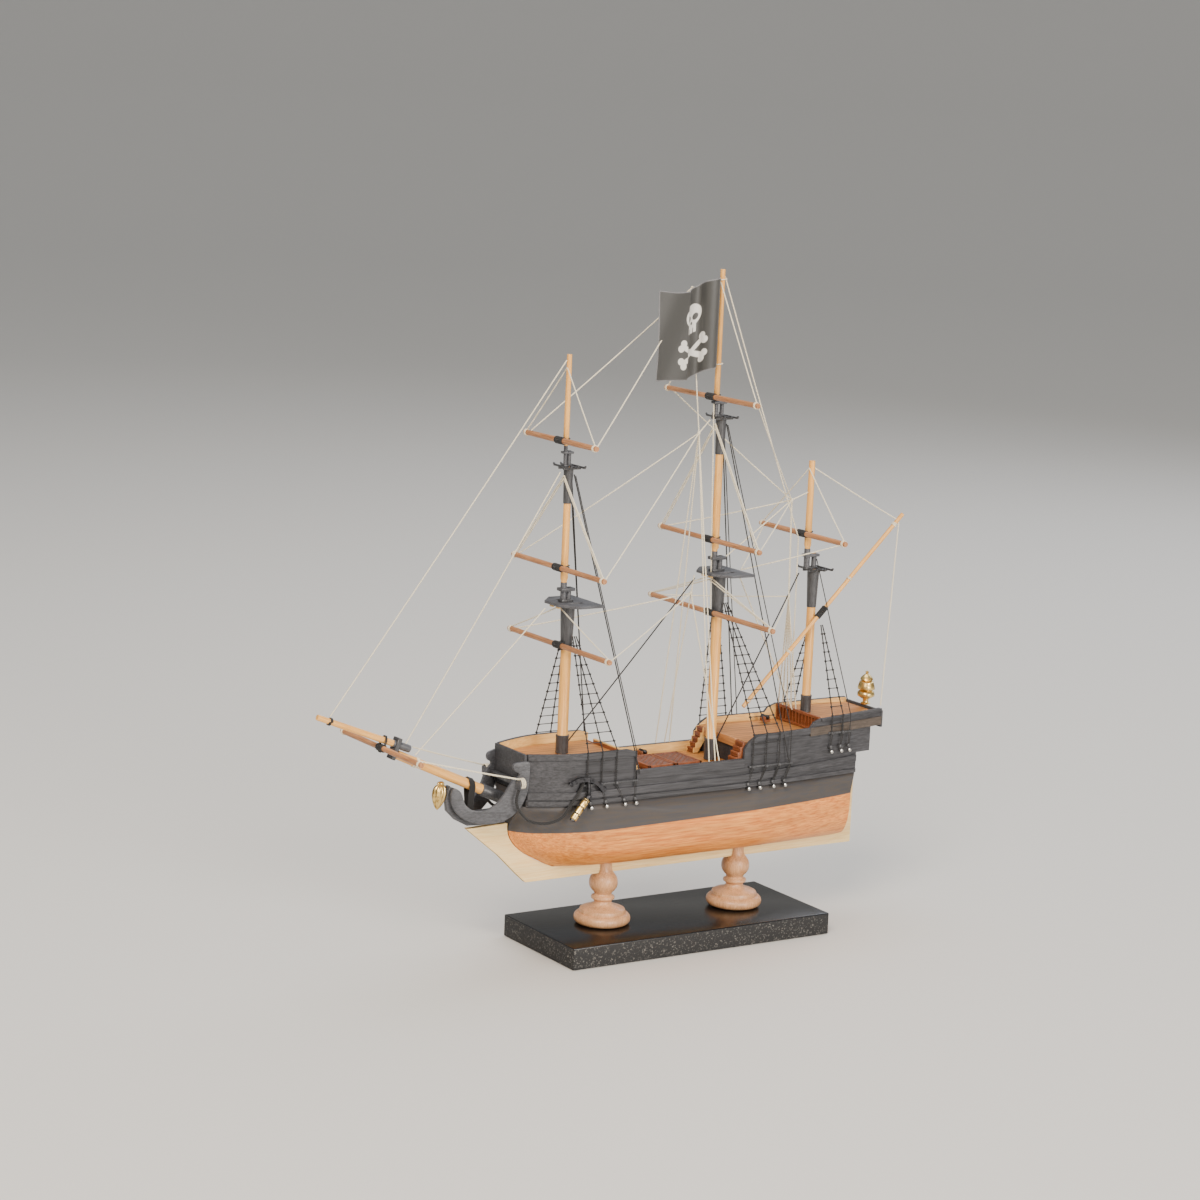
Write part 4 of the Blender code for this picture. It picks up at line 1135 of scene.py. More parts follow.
@dataclass
class DeckFittings:
    """Ladders, lattice gratings, balustrade and two small guns."""

    lattice_pitch: float = 3.0
    lattice_bar: float = 0.85

    def build(self) -> None:
        """Fit out the decks."""
        y = 15.9
        for node, foot, side, high, aft, boards in (
                ("quarterdeck_ladder_port", 18.7, -y, 92.8, True, WALNUT),
                ("quarterdeck_ladder_starboard", 18.7, y, 92.8, True, LINING),
                ("forecastle_ladder_port", -31.2, -y, 91.0, False, LINING),
                ("forecastle_ladder_starboard", -31.2, y, 91.0, False, WALNUT)):
            Ladder(node, foot, side, 81.3, high, aft, boards).build()
        dress(fused("waist_gratings", self.grating(-14.3) + self.grating(0.3)), WALNUT, "ship",
              ["hatch_gratings"])
        # Black boards set just under the tops of the grating bars: painted shade for the dark hatch
        # below the gratings, not a real part.
        shade_boards = [block("shade_board", (13.4, 20.0, 2.2), (x, 0.0, 82.5), 0.1) for x in (-14.3, 0.3)]
        dress(fused("grating_painted_shade", shade_boards), BLACK_TRIM)
        dress(refined("poop_balustrade", "balustrade_bars", 0.12), WALNUT, "ship",
              ["poop_balustrade"])
        self.gun("waist_gun", -8.0, 15.6, 81.3)
        self.gun("quarterdeck_gun", 57.5, 11.5, 93.1)

    def grating(self, x: float) -> list[bpy.types.Object]:
        """Make one bordered lattice of slanting bars.

        Args:
            x: the middle of the grating.

        Returns:
            Its shapes.
        """
        long, wide, low = 14.0, 20.6, 81.35
        shapes = []
        for y in (-wide / 2 + 0.6, wide / 2 - 0.6):
            shapes.append(block("border", (long, 1.2, 2.4), (x, y, low + 1.3), 0.15))
        for end in (-long / 2 + 0.6, long / 2 - 0.6):
            shapes.append(block("border", (1.2, wide, 2.4), (x + end, 0.0, low + 1.3), 0.15))
        half_x, half_y = long / 2 - 1.1, wide / 2 - 1.1
        for slope in (1.0, -1.0):
            offset = -(half_x + half_y) + self.lattice_pitch
            while offset < half_x + half_y - 0.5:
                first = max(-half_x, offset - half_y)
                last = min(half_x, offset + half_y)
                if last - first > 1.0:
                    middle = (first + last) * 0.5
                    run = (last - first) * math.sqrt(2.0)
                    lay = at(x + middle, slope * (offset - middle), low + 2.0,
                             Euler((0.0, 0.0, -slope * math.pi / 4)))
                    shapes.append(block("bar", (run, self.lattice_bar, 0.7),
                                        (0.0, 0.0, 0.0), 0.1, lay))
                offset += self.lattice_pitch
        return shapes

    def gun(self, name: str, x: float, y: float, deck: float) -> None:
        """Mount a short barrel on a stepped carriage, pointing outboard.

        Args:
            name: the gun's name.
            x: its station.
            y: its distance from the middle.
            deck: height of the deck under it.
        """
        carriage = [block("bed", (3.0, 4.6, 1.0), (x, y, deck + 0.9), 0.15),
                    block("cheek", (0.7, 4.2, 1.8), (x - 1.2, y + 0.1, deck + 2.0), 0.15),
                    block("cheek", (0.7, 4.2, 1.8), (x + 1.2, y + 0.1, deck + 2.0), 0.15)]
        dress(fused(name + "_carriage", carriage), WALNUT)
        rings = [(0.3, -0.6), (0.7, -0.2), (1.0, 0.2), (0.95, 1.4), (0.8, 2.4), (0.7, 4.2),
                 (0.85, 4.5), (0.8, 4.8), (0.4, 4.8)]
        barrel = turned(name + "_barrel", rings, at(x, y - 2.6, deck + 2.8,
                        Euler((-math.pi / 2, 0.0, 0.0))), 16)
        dress(barrel, BLACKED)


@dataclass
class Lantern:
    """Stern lantern of gilt tiers on a stalk."""

    x: float = 107.4
    foot: float = 100.3

    def build(self) -> None:
        """Turn the lantern with flat facets."""
        rings = [(2.3, 0.0), (2.4, 0.5), (1.5, 0.9), (1.3, 1.6), (1.5, 2.4), (2.8, 3.1),
                 (4.1, 3.9), (4.3, 4.7), (4.1, 5.6), (3.3, 6.3), (2.8, 6.6), (2.9, 6.8),
                 (4.1, 7.2), (4.3, 7.8), (3.9, 9.1), (3.5, 10.6), (2.5, 11.2), (2.6, 11.5),
                 (3.2, 11.8), (2.8, 12.7), (1.9, 13.6), (0.9, 14.4), (0.5, 14.7), (0.85, 15.0),
                 (0.9, 15.4), (0.5, 15.8)]
        shade = turned("gilt_lantern", rings, at(self.x, 0.0, self.foot), 10)
        dress(shade, GILT, "ship", ["stern_lantern"])


@dataclass
class Anchors:
    """Blackened anchors lashed to the bows, each with its cable led to the cathead."""

    side_y: float = 23.6

    def build(self) -> None:
        """Dress the anchors, add their palms, and lay the cables."""
        for end, side in (("port", -1.0), ("starboard", 1.0)):
            node = "anchor_" + end
            dress(refined(node, node + "_casting", 0.1), BLACKED, "ship", [node])
            y = side * self.side_y
            palms = []
            for x, z, way in ((-71.3, 83.1, 0.6), (-53.5, 79.3, -1.0)):
                palms.append(block("palm", (2.2, 1.5, 1.2), (0.0, 0.0, 0.0), 0.25,
                                   at(x, y, z, Euler((0.0, way, 0.0)))))
            dress(fused(node + "_palms", palms), BLACKED)
            upper, lower = (-62.6, y, 75.7), (-69.6, y, 67.1)
            stock = turned(node + "_gilt_stock", [(1.3, 0.0), (1.65, 0.4), (1.65, 10.6),
                           (1.3, 11.0)], pointed(upper, lower), 20)
            dress(stock, GILT)
            for k, share in enumerate((0.1, 0.42, 0.74)):
                spot = Vector(upper).lerp(Vector(lower), share)
                band = whipping(f"{node}_stock_band_{k + 1}", pointed(tuple(spot), lower), 1.6,
                                0.6, 0.3)
                dress(band, BLACK_THREAD)
            run = flowing([(-63.4, 84.2), (-65.4, 79.2), (-69.6, 72.8), (-73.4, 67.2), (-80.0, 64.9),
                           (-86.5, 66.0), (-91.0, 70.0), (-93.6, 75.2), (-92.6, 80.6)], 4, False)
            path = []
            for x, z in run:
                out = max(LINES.half_breadth(max(x, -88.5)) + 1.3, 14.9)
                path.append((x, side * out, z))
            dress(laid_thread("anchor_cable_" + end, [path], 0.7, rounds=2), BLACK_THREAD)


# ---------------------------------------------------------------- masts, yards and bowsprit


def whipping(name: str, place: Matrix, radius: float, length: float, thread: float
             ) -> bpy.types.Object:
    """Wind thread side by side round a spar.

    Args:
        name: the piece's name.
        place: the spar's axis at the middle of the whipping.
        radius: the spar's radius there.
        length: length of the whipping along the spar.
        thread: the thread's radius.

    Returns:
        The piece.
    """
    turns = max(round(length / (2.0 * thread)), 1)
    points = []
    for i in range(turns * 10 + 1):
        angle = 2.0 * math.pi * i / 10
        along = -length * 0.5 + length * i / (turns * 10)
        points.append(((radius + thread * 0.6) * math.cos(angle),
                       (radius + thread * 0.6) * math.sin(angle), along))
    piece = laid_thread(name, [points], thread)
    piece.data.transform(place)
    return piece


@dataclass
class Mast:
    """One mast of two or three spars with its top, cap, crosstrees and foot band."""

    prefix: str
    stations: tuple[float, ...]
    radii: Flat
    foot: float
    collar_z: float
    platform_z: float
    cap_z: float
    band: Flat
    platform: Flat
    upper_collar_z: float = 0.0
    crosstree_z: float = 0.0
    upper_cap_z: float = 0.0

    def build(self) -> None:
        """Dress the spars and fit what holds them together."""
        tall = len(self.stations) == 3
        for spar in ["lower_mast", "topmast"] + ["topgallant_mast"] * tall:
            node = f"{self.prefix}_{spar}"
            dress(refined(node, node + "_dowel"), MAST, "ship", [node])
        x = self.stations[0]
        radius, height = self.band
        band = [(radius - 0.1, 0.02), (radius + 0.1, 0.3), (radius, 1.2), (radius, height - 1.2),
                (radius + 0.1, height - 0.8), (radius + 0.1, height - 0.2), (radius - 0.1, height)]
        dress(turned(self.prefix + "_foot_band", band, at(x, 0.0, self.foot), 28), BLACK_TRIM)
        self.doubling("lower", (x, self.stations[1]), (self.collar_z, self.platform_z, self.cap_z),
                      (self.radii[0], self.radii[0] * 1.25, 1.1, 1.3), 13.0)
        if tall:
            self.top()
            self.doubling("upper", self.stations[1:],
                          (self.upper_collar_z, self.crosstree_z, self.upper_cap_z),
                          (self.radii[1], self.radii[1] * 1.15, 0.8, 0.75), 11.0)
            self.crosstrees(self.stations[1] + 0.5, self.crosstree_z, (4.5, 7.5))
        else:
            self.crosstrees(x + 1.0, self.platform_z, self.platform)

    def top(self) -> None:
        """Saw the platform with its two openings and rim blocks."""
        half, wide = self.platform
        corner = wide * 0.45
        edge = [(-half, -corner), (-half * 0.3, -wide), (half, -wide), (half, wide),
                (-half * 0.3, wide), (-half, corner)]
        holes = [[(-3.4, side * 3.2), (3.4, side * 3.2), (3.4, side * 6.4), (-3.4, side * 6.4)]
                 for side in (-1.0, 1.0)]
        middle = self.stations[0] + 1.0
        place = at(middle, 0.0, self.platform_z)
        piece = sawn(self.prefix + "_top_platform", [edge, *holes], 1.2, place, 0.2)
        dress(piece, GREY_BLACK, "ship", [self.prefix + "_top"])
        blocks = [block("rim", (1.3, 2.4, 1.1), (middle - half * 0.8, side * 2.6,
                        self.platform_z - 1.2), 0.2) for side in (-1.0, 1.0)]
        dress(fused(self.prefix + "_top_rim_blocks", blocks), LINING)

    def doubling(self, part: str, stations: Sequence[float], levels: Sequence[float],
                 radii: Sequence[float], rise: float) -> None:
        """Paint the spars where two overlap, and fit the cap and the heel block.

        Args:
            part: which doubling it is.
            stations: stations of the spars below and above.
            levels: heights of the collar, the platform and the cap.
            radii: radii of the spar, its flare, its head and the heel of the spar above.
            rise: height from the collar to the flare.
        """
        stem = f"{self.prefix}_{part}"
        below, above = stations
        collar, level, cap = levels
        spar, flare, head, heel = radii
        cheek = [(spar * 1.02 + 0.08, collar + 0.2), (flare + 0.1, collar + rise),
                 (flare + 0.25, level - 0.75)]
        dress(turned(stem + "_cheeks", cheek, at(below, 0.0, 0.0), 20), BLACK_TRIM)
        for name, x, radius, top in (("head", below, head + 0.12, cap),
                                     ("heel", above, heel + 0.12, cap + 2.4)):
            sleeve = [(radius, level + 0.75), (radius, top - 0.2), (radius - 0.1, top)]
            dress(turned(f"{stem}_{name}_sleeve", sleeve, at(x, 0.0, 0.0), 16), GREY_BLACK)
        middle = (below + above) * 0.5
        length = abs(below - above) + 2.4 * spar * 0.78
        hoop = block(stem + "_cap", (length, spar * 1.8, 0.6 * spar), (middle, 0.0, cap - 0.8), 0.2)
        dress(hoop, GREY_BLACK)
        step = block(stem + "_step", (length - 1.0, spar * 1.5, 0.5 * spar),
                     (middle, 0.0, level + 1.2), 0.2)
        dress(step, BLACK_TRIM)

    def crosstrees(self, x: float, z: float, halves: Flat) -> None:
        """Cross two bars fore and aft with three bars athwart, their tips turned up.

        Args:
            x: station of the middle.
            z: height of the bars.
            halves: half the length fore and aft and half the length athwart.
        """
        half, wide = halves
        bars = [block("trestle", (half * 2.0, 1.0, 1.1), (x, side * 1.9, z), 0.2)
                for side in (-1.0, 1.0)]
        for shift in (-half * 0.8, 0.0, half * 0.8):
            bars.append(block("crosstree", (1.0, wide * 1.9, 0.9), (x + shift, 0.0, z + 0.7), 0.2))
            for side in (-1.0, 1.0):
                tip = at(x + shift, side * wide * 0.93, z + 1.1, Euler((side * 0.6, 0.0, 0.0)))
                bars.append(block("tip", (0.9, 1.4, 0.8), (0.0, 0.0, 0.0), 0.2, tip))
        dress(fused(self.prefix + "_crosstree_bars", bars), BLACK_TRIM, "ship",
              [self.prefix + "_crosstrees"])


@dataclass
class Yard:
    """A square yard with whipped ends, lashed to its mast."""

    node: str
    x: float
    z: float
    half: float
    mast_x: float
    mast_radius: float
    radius: float = 1.35

    def build(self) -> None:
        """Dress the yard, wind its ends and lash its middle."""
        dress(refined(self.node, self.node + "_dowel"), YARD, self.node, [self.node])
        across = Euler((math.pi / 2, 0.0, 0.0))
        for end, side in (("port", -1.0), ("starboard", 1.0)):
            ring = whipping(f"{self.node}_whipping_{end}",
                            at(self.x, side * (self.half - 1.6), self.z, across), 1.2, 1.3, 0.27)
            dress(ring, CREAM_THREAD, self.node)
        middle = whipping(self.node + "_lashing", at(self.x, 0.0, self.z, across), self.radius,
                          6.4, 0.22)
        dress(middle, BLACK_THREAD, self.node)
        reach = (self.mast_x + self.mast_radius + 0.5 - (self.x - self.radius - 0.5)) * 0.5
        centre = self.mast_x + self.mast_radius + 0.5 - reach
        loops = [[(centre + reach * math.cos(a * math.pi / 8),
                   (self.mast_radius + 0.75) * math.sin(a * math.pi / 8),
                   self.z + lift + 0.25 * math.cos(a * math.pi / 8)) for a in range(16)]
                 for lift in (-0.5, 0.5)]
        dress(laid_thread(self.node + "_parrel", loops, 0.25, True), BLACK_THREAD, self.node)


@dataclass
class Bowsprit:
    """Bowsprit, jib-boom, cap and the spritsail yard lashed beneath."""

    root: Point = (-90.8, 0.0, 73.1)
    slope: float = math.atan2(21.3, 47.1)
    heel: Point = (-139.5, 0.0, 99.9)
    boom_slope: float = math.radians(21.3)

    def along(self, start: Point, slope: float, distance: float, lift: float = 0.0) -> Point:
        """Return the point a distance out along a spar, raised square to it."""
        run, rise = math.cos(slope), math.sin(slope)
        return (start[0] - run * distance + rise * lift, start[1],
                start[2] + rise * distance + run * lift)

    def axis(self, start: Point, slope: float, distance: float) -> Matrix:
        """Return the matrix of a spar's axis a distance out."""
        here = self.along(start, slope, distance)
        return pointed(here, self.along(start, slope, distance + 10.0))

    def build(self) -> None:
        """Dress the spars and lash them together."""
        dress(refined("bowsprit", "bowsprit_dowel", 0.2), BOWSPRIT_WOOD, "ship", ["bowsprit"])
        dress(refined("jib_boom", "jib_boom_dowel", 0.2), JIB_WOOD, "ship", ["jib_boom"])
        dress(refined("bowsprit_cap", "bowsprit_cap_block", 0.3), BLACK_TRIM, "ship",
              ["bowsprit_cap"])
        collar = [(2.42, 0.2), (2.75, 0.5), (2.75, 13.0), (2.42, 13.5)]
        dress(turned("bowsprit_root_collar", collar, self.axis(self.root, self.slope, 0.0), 24),
              BLACK_TRIM)
        sleeve = [(1.55, 0.05), (1.68, 0.2), (1.68, 8.8), (1.55, 9.1)]
        dress(turned("jib_boom_heel_sleeve", sleeve,
                     self.axis(self.heel, self.boom_slope, 0.0), 20), GREY_BLACK)
        for name, start, slope, distance, radius, length, finish in (
                ("jib_boom_tip_tie", self.heel, self.boom_slope, 42.0, 1.4, 1.2, BLACK_THREAD),
                ("bowsprit_stay_tie", self.root, self.slope, 50.0, 2.05, 1.8, CREAM_THREAD)):
            dress(whipping(name, self.axis(start, slope, distance), radius, length, 0.3), finish)
        yard = "spritsail_yard"
        dress(refined(yard, yard + "_dowel"), YARD, yard, [yard])
        x, _, z = self.along(self.heel, self.boom_slope, 13.6, -3.45)
        across = Euler((math.pi / 2, 0.0, 0.0))
        for end, side in (("port", -1.0), ("starboard", 1.0)):
            dress(whipping(f"{yard}_whipping_{end}", at(x, side * 33.8, z, across), 1.2, 1.3,
                           0.27), CREAM_THREAD, yard)
        dress(whipping(yard + "_lashing", at(x, 0.0, z, across), 1.35, 5.0, 0.25), BLACK_THREAD,
              yard)
        loops = []
        for k in range(2):
            centre = Vector(self.along(self.heel, self.boom_slope, 13.3 + 0.6 * k, -1.65))
            up = Vector((math.sin(self.boom_slope), 0.0, math.cos(self.boom_slope)))
            loops.append([tuple(centre + up * (3.75 * math.sin(a * math.pi / 7))
                                + Vector((0.0, 2.2 * math.cos(a * math.pi / 7), 0.0)))
                          for a in range(14)])
        dress(laid_thread(yard + "_sling", loops, 0.25, True), BLACK_THREAD, yard)


@dataclass
class Lateen:
    """The long slanting yard on the port side of the mizzen, lashed at the mast."""

    node: str = "lateen_yard"
    heel: Point = (33.5, -3.73, 105.5)
    peak: Point = (119.9, -3.73, 191.2)

    def build(self) -> None:
        """Dress the yard and wind the bands on it."""
        dress(refined(self.node, self.node + "_dowel"), LATEEN_WOOD, self.node, [self.node])
        run = Vector(self.peak) - Vector(self.heel)
        for name, share, length, finish in (("heel_band", 0.03, 1.4, CREAM_THREAD),
                                            ("lower_band", 0.28, 1.2, CREAM_THREAD),
                                            ("mast_lashing", 0.485, 6.4, BLACK_THREAD),
                                            ("upper_band", 0.66, 1.2, CREAM_THREAD),
                                            ("peak_band", 0.945, 1.6, CREAM_THREAD)):
            here = Vector(self.heel) + run * share
            place = pointed(tuple(here), tuple(here + run))
            radius = 1.1 if 0.3 < share < 0.6 else 0.95
            dress(whipping(f"{self.node}_{name}", place, radius, length, 0.28), finish, self.node)


# ---------------------------------------------------------------- rigging


@dataclass
class ShroudSet:
    """Shrouds with ratlines on one side of a mast, down to their channel and chains."""

    prefix: str
    feet: tuple[float, ...]
    stay_x: float
    apex: Flat
    rail_z: float
    channel_z: float
    pins: tuple[float, ...]
    pin_y: float
    pin_z: float
    stay_top: Point
    spread: float = 0.9

    def build(self) -> None:
        """Rig both sides."""
        for end, side in (("port", -1.0), ("starboard", 1.0)):
            self.rig(end, side)

    def rig(self, end: str, side: float) -> None:
        """Rig one side.

        Args:
            end: the side's name.
            side: -1 for port and 1 for starboard.
        """
        apex_x, apex_z = self.apex
        out = LINES.half_breadth(self.feet[0]) + 0.9
        stem = f"{self.prefix}_{end}"
        middle = (len(self.feet) - 1) * 0.5
        low = [Vector((x, side * out, self.channel_z)) for x in self.feet]
        rail = [Vector((x, side * out, self.rail_z)) for x in self.feet]
        high = [Vector((apex_x + (i - middle) * self.spread, side * 4.0, apex_z))
                for i in range(len(self.feet))]
        runs = [[tuple(a), tuple(b), tuple(c)] for a, b, c in zip(low, rail, high)]
        dress(laid_thread(f"{self.prefix}_shrouds_{end}_threads", runs, 0.3), BLACK_THREAD, "ship",
              [f"{self.prefix}_shrouds_{end}"])
        self.ratlines(stem, low, rail, high)
        front, back = self.feet[0] - 2.0, self.stay_x + 1.5
        board = block(stem + "_channel", (back - front, 1.1, 0.9),
                      ((front + back) * 0.5, side * (out - 0.1), self.channel_z), 0.2)
        dress(board, BLACK_TRIM)
        beads = [turned("bead", [(0.4, -0.8), (0.85, -0.5), (0.95, 0.0), (0.85, 0.5), (0.4, 0.8)],
                        at(x, side * (out + 0.6), self.channel_z)) for x in self.feet]
        dress(fused(stem + "_channel_beads", beads), BLACK_TRIM)
        turn_z = min(self.rail_z, LINES.rail(self.stay_x) + 0.3)
        bend = (self.stay_x, side * out, turn_z)
        top = (self.stay_top[0], side * self.stay_top[1], self.stay_top[2])
        stay = [(self.stay_x, side * out, self.channel_z), *sagging(bend, top, 0.002)]
        dress(laid_thread(stem + "_backstay", [stay], 0.24), BLACK_THREAD)
        self.chains(stem, side, out)

    def ratlines(self, stem: str, low: Sequence[Vector], rail: Sequence[Vector],
                 high: Sequence[Vector]) -> None:
        """Tie the ratlines across the shrouds, with a knot at each crossing.

        Args:
            stem: start of the pieces' names.
            low: the shrouds' ends at the channel.
            rail: where the shrouds pass the rail.
            high: upper ends of the shrouds.
        """
        levels = [[a.lerp(b, t) for a, b in zip(low, rail)] for t in (0.36, 0.72)]
        rows = max(int((high[0] - rail[0]).length / 4.1), 3)
        levels += [[a.lerp(b, row / rows) for a, b in zip(rail, high)] for row in range(rows)]
        runs = []
        deselect()
        bpy.ops.mesh.primitive_ico_sphere_add(subdivisions=1, radius=0.1 * MM,
                                              location=rail[0] * MM)
        bpy.ops.object.transform_apply(location=True)
        bpy.ops.object.mode_set(mode="EDIT")
        for crossings in levels:
            over = (crossings[-1] - crossings[0]).normalized() * 0.7
            runs.append([tuple(crossings[0] - over), *(tuple(c) for c in crossings),
                         tuple(crossings[-1] + over)])
            for knot in crossings:
                bpy.ops.mesh.primitive_ico_sphere_add(subdivisions=1, radius=0.62 * MM,
                                                      location=knot * MM)
        bpy.ops.object.mode_set(mode="OBJECT")
        dress(seated(stem + "_ratline_knots"), BLACK_THREAD)
        dress(laid_thread(stem + "_ratlines", runs, 0.2), BLACK_THREAD)

    def chains(self, stem: str, side: float, out: float) -> None:
        """Lead a doubled wire from each foot down to its ball-headed pin.

        Args:
            stem: start of the pieces' names.
            side: -1 for port and 1 for starboard.
            out: distance of the shrouds from the middle.
        """
        wires, stops, heads = [], [], []
        for foot, pin in zip((*self.feet, self.stay_x), self.pins):
            for shift in (-0.45, 0.45):
                wires.append([(foot + shift, side * (out + 0.1), self.channel_z + 0.2),
                              (foot + shift, side * (out + 0.1), self.channel_z - 0.9),
                              (pin + shift * 0.6, side * (self.pin_y + 0.7), self.pin_z + 1.2)])
            outward = Euler((-side * math.pi / 2, 0.0, 0.0))
            stops.append(turned("stop", [(0.3, -0.9), (0.9, -0.7), (1.05, 0.0), (0.85, 0.7),
                                (0.3, 0.95)], at(pin, side * (self.pin_y + 0.7),
                                self.pin_z + 1.7, outward), 12))
            heads.append(turned("head", [(0.25, -1.6), (0.3, -0.7), (0.8, -0.5), (1.0, 0.1),
                                (0.85, 0.65), (0.3, 0.95)], at(pin + 0.5, side *
                                (self.pin_y + 1.0), self.pin_z - 0.4, outward), 14))
        dress(laid_thread(stem + "_chains", wires, 0.22), BLACK_THREAD)
        dress(fused(stem + "_pin_stops", stops), BLACK_TRIM)
        dress(fused(stem + "_pin_heads", heads), BRIGHT_PIN)


@dataclass(frozen=True)
class Line:
    """One thread of the rigging: where it starts, where it ends and the yard it ends on, if any."""

    name: str
    start: Point
    end: Point
    yard: str = ""
    black: bool = False
    spare: float = 0.004
    radius: float = 0.3

    def build(self) -> None:
        """Lay the thread; one that ends on a yard is left on no body, with its place put in its mesh.
        """
        piece = laid_thread(self.name, [sagging(self.start, self.end, self.spare)], self.radius)
        finish = BLACK_THREAD if self.black else CREAM_THREAD
        if self.yard:
            dress(piece, finish, None)
            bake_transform(piece)
        else:
            dress(piece, finish)


@dataclass
class Rigging:
    """Stays, lifts, braces, halyards and falls, and the blocks that gather them."""

    flag_block: Point = (4.6, 12.0, 296.6)
    upper_block: Point = (3.9, 0.0, 232.6)
    lower_block: Point = (3.9, 0.0, 159.7)
    mizzen_block: Point = (57.5, 0.0, 200.0)
    poop_block: Point = (58.9, 0.0, 154.9)

    def build(self) -> None:
        """Rig the ship from bow to stern."""
        for line in (*self.stays(), *self.square_lines(), *self.falls(), *self.lateen_lines()):
            line.build()
        for name, where, size in (("flag_halyard_knot", self.flag_block, 0.6),
                                  ("upper_brace_knot", self.upper_block, 0.75),
                                  ("lower_brace_knot", self.lower_block, 0.75),
                                  ("mizzen_brace_knot", self.mizzen_block, 0.75),
                                  ("poop_brace_knot", self.poop_block, 0.75)):
            shell = turned(name, [(0.3 * size, -1.2 * size), (0.8 * size, -0.9 * size),
                                  (size, -0.2 * size), (size, 0.3 * size),
                                  (0.8 * size, 0.9 * size), (0.3 * size, 1.2 * size)],
                           at(*where), 14)
            dress(shell, CREAM_THREAD)

    def stays(self) -> list[Line]:
        """Return the stays that lead forward, and the bowsprit's side ropes."""
        return [
            Line("fore_topgallant_stay", (-67.6, 0.0, 266.6), (-178.5, 0.0, 117.3)),
            Line("fore_topmast_stay", (-68.6, 0.0, 217.6), (-141.4, 0.0, 102.4)),
            Line("fore_stay", (-73.6, 0.0, 157.4), (-136.6, 0.0, 96.9)),
            Line("main_stay", (5.6, 0.0, 166.6), (-58.6, 0.0, 96.6), black=True),
            Line("mizzen_stay", (64.0, 0.0, 165.6), (22.0, 0.0, 90.4), black=True),
            Line("bowsprit_side_rope_port", (-136.8, -3.0, 95.0), (-92.0, -14.6, 85.2),
                 radius=0.38),
            Line("bowsprit_side_rope_starboard", (-136.1, 3.0, 99.8), (-93.5, 14.6, 85.6),
                 radius=0.38),
            Line("mizzen_block_strap", self.mizzen_block, (66.6, 0.0, 203.2)),
            Line("main_cap_span", (22.3, 0.0, 175.6), self.mizzen_block),
            Line("upper_block_strap", self.upper_block, (9.6, 0.0, 238.4)),
            Line("upper_block_pendant", self.upper_block, self.flag_block),
            Line("flag_block_strap", self.flag_block, (11.4, 0.0, 299.0)),
            Line("lower_block_strap", self.lower_block, (5.2, 0.0, 167.9)),
        ]

    def square_lines(self) -> list[Line]:
        """Return the lifts and braces of the square yards, two sides each."""
        made = []
        for yard, x, z, half, lift, brace, doubled in (
                ("fore_topgallant_yard", -69.25, 231.6, 29.6, (-67.2, 0.0, 263.4),
                 self.flag_block, 0.0),
                ("fore_topsail_yard", -67.6, 175.3, 38.1, (-66.6, 0.0, 216.0),
                 self.upper_block, 1.6),
                ("fore_course_yard", -65.7, 140.5, 42.1, (-66.4, 0.0, 157.8),
                 self.lower_block, 0.0),
                ("main_topgallant_yard", 9.8, 248.9, 36.4, (11.6, 0.0, 300.4),
                 self.mizzen_block, 0.0),
                ("main_topsail_yard", 12.3, 184.1, 40.0, (12.6, 0.0, 236.6),
                 self.mizzen_block, 1.6),
                ("main_course_yard", 15.0, 150.2, 49.4, (13.6, 0.0, 166.8),
                 self.poop_block, 1.6),
                ("mizzen_topsail_yard", 64.95, 184.1, 33.1, (66.6, 0.0, 214.4),
                 (31.0, 0.0, 168.9), 0.0)):
            for end, side in (("port", -1.0), ("starboard", 1.0)):
                tip = (x, side * (half - 1.6), z + 1.1)
                back = (x + 0.9, side * (half - 1.8), z)
                stem = f"{yard}_%s_{end}"
                made.append(Line(stem % "lift", lift, tip, yard))
                made.append(Line(stem % "brace", brace, back, yard, spare=0.006))
                if doubled:
                    inner = (x, side * (half - 1.6 - doubled), z + 1.2)
                    above = (lift[0], lift[1], lift[2] - 1.4)
                    made.append(Line(stem % "second_lift", above, inner, yard))
        return made

    def falls(self) -> list[Line]:
        """Return the ropes that come down from the blocks and mastheads to the rails."""
        made = [Line("main_mast_front_fall", (11.2, 0.0, 246.0), (14.6, -0.8, 150.0)),
                Line("main_top_aft_fall", (29.0, 0.0, 168.4), (65.6, 1.6, 100.6)),
                Line("main_masthead_fall", (13.9, 0.0, 302.6), (62.6, 0.0, 182.0)),
                Line("masthead_fall_end", (62.6, 0.0, 182.0), (67.0, 4.8, 100.6))]
        for i, (x, block_from) in enumerate(((2.0, self.upper_block), (7.0, self.lower_block),
                                             (9.7, self.upper_block))):
            made.append(Line(f"starboard_fall_{i + 1}", block_from, (x, 20.0, 86.0),
                             spare=0.003))
        for i, (x, block_from) in enumerate(((4.1, self.upper_block), (7.4, self.upper_block),
                                             (9.6, self.lower_block))):
            made.append(Line(f"port_fall_{i + 1}", block_from, (x, -20.5, 85.9), spare=0.003))
        made.append(Line("mizzen_block_pendant_1", self.mizzen_block,
                         (58.5, -0.4, 155.6), spare=0.001))
        made.append(Line("mizzen_block_pendant_2", (58.1, 0.5, 199.4), (59.5, 0.5, 155.6),
                         spare=0.001))
        for i, y in enumerate((16.0, 12.5, 9.0, 5.5, 2.0)):
            made.append(Line(f"poop_fall_{i + 1}", self.poop_block, (68.1, y, 100.5), spare=0.003))
        for end, side in (("port", -1.0), ("starboard", 1.0)):
            made.append(Line(f"fore_topmast_backstay_{end}", (-62.4, side * 1.6, 216.6),
                             (-34.6, side * 22.6, 84.4), black=True, spare=0.002))
            made.append(Line(f"main_topmast_backstay_{end}", (17.6, side * 1.6, 236.6),
                             (47.6, side * 22.6, 81.8), black=True, spare=0.002))
        return made

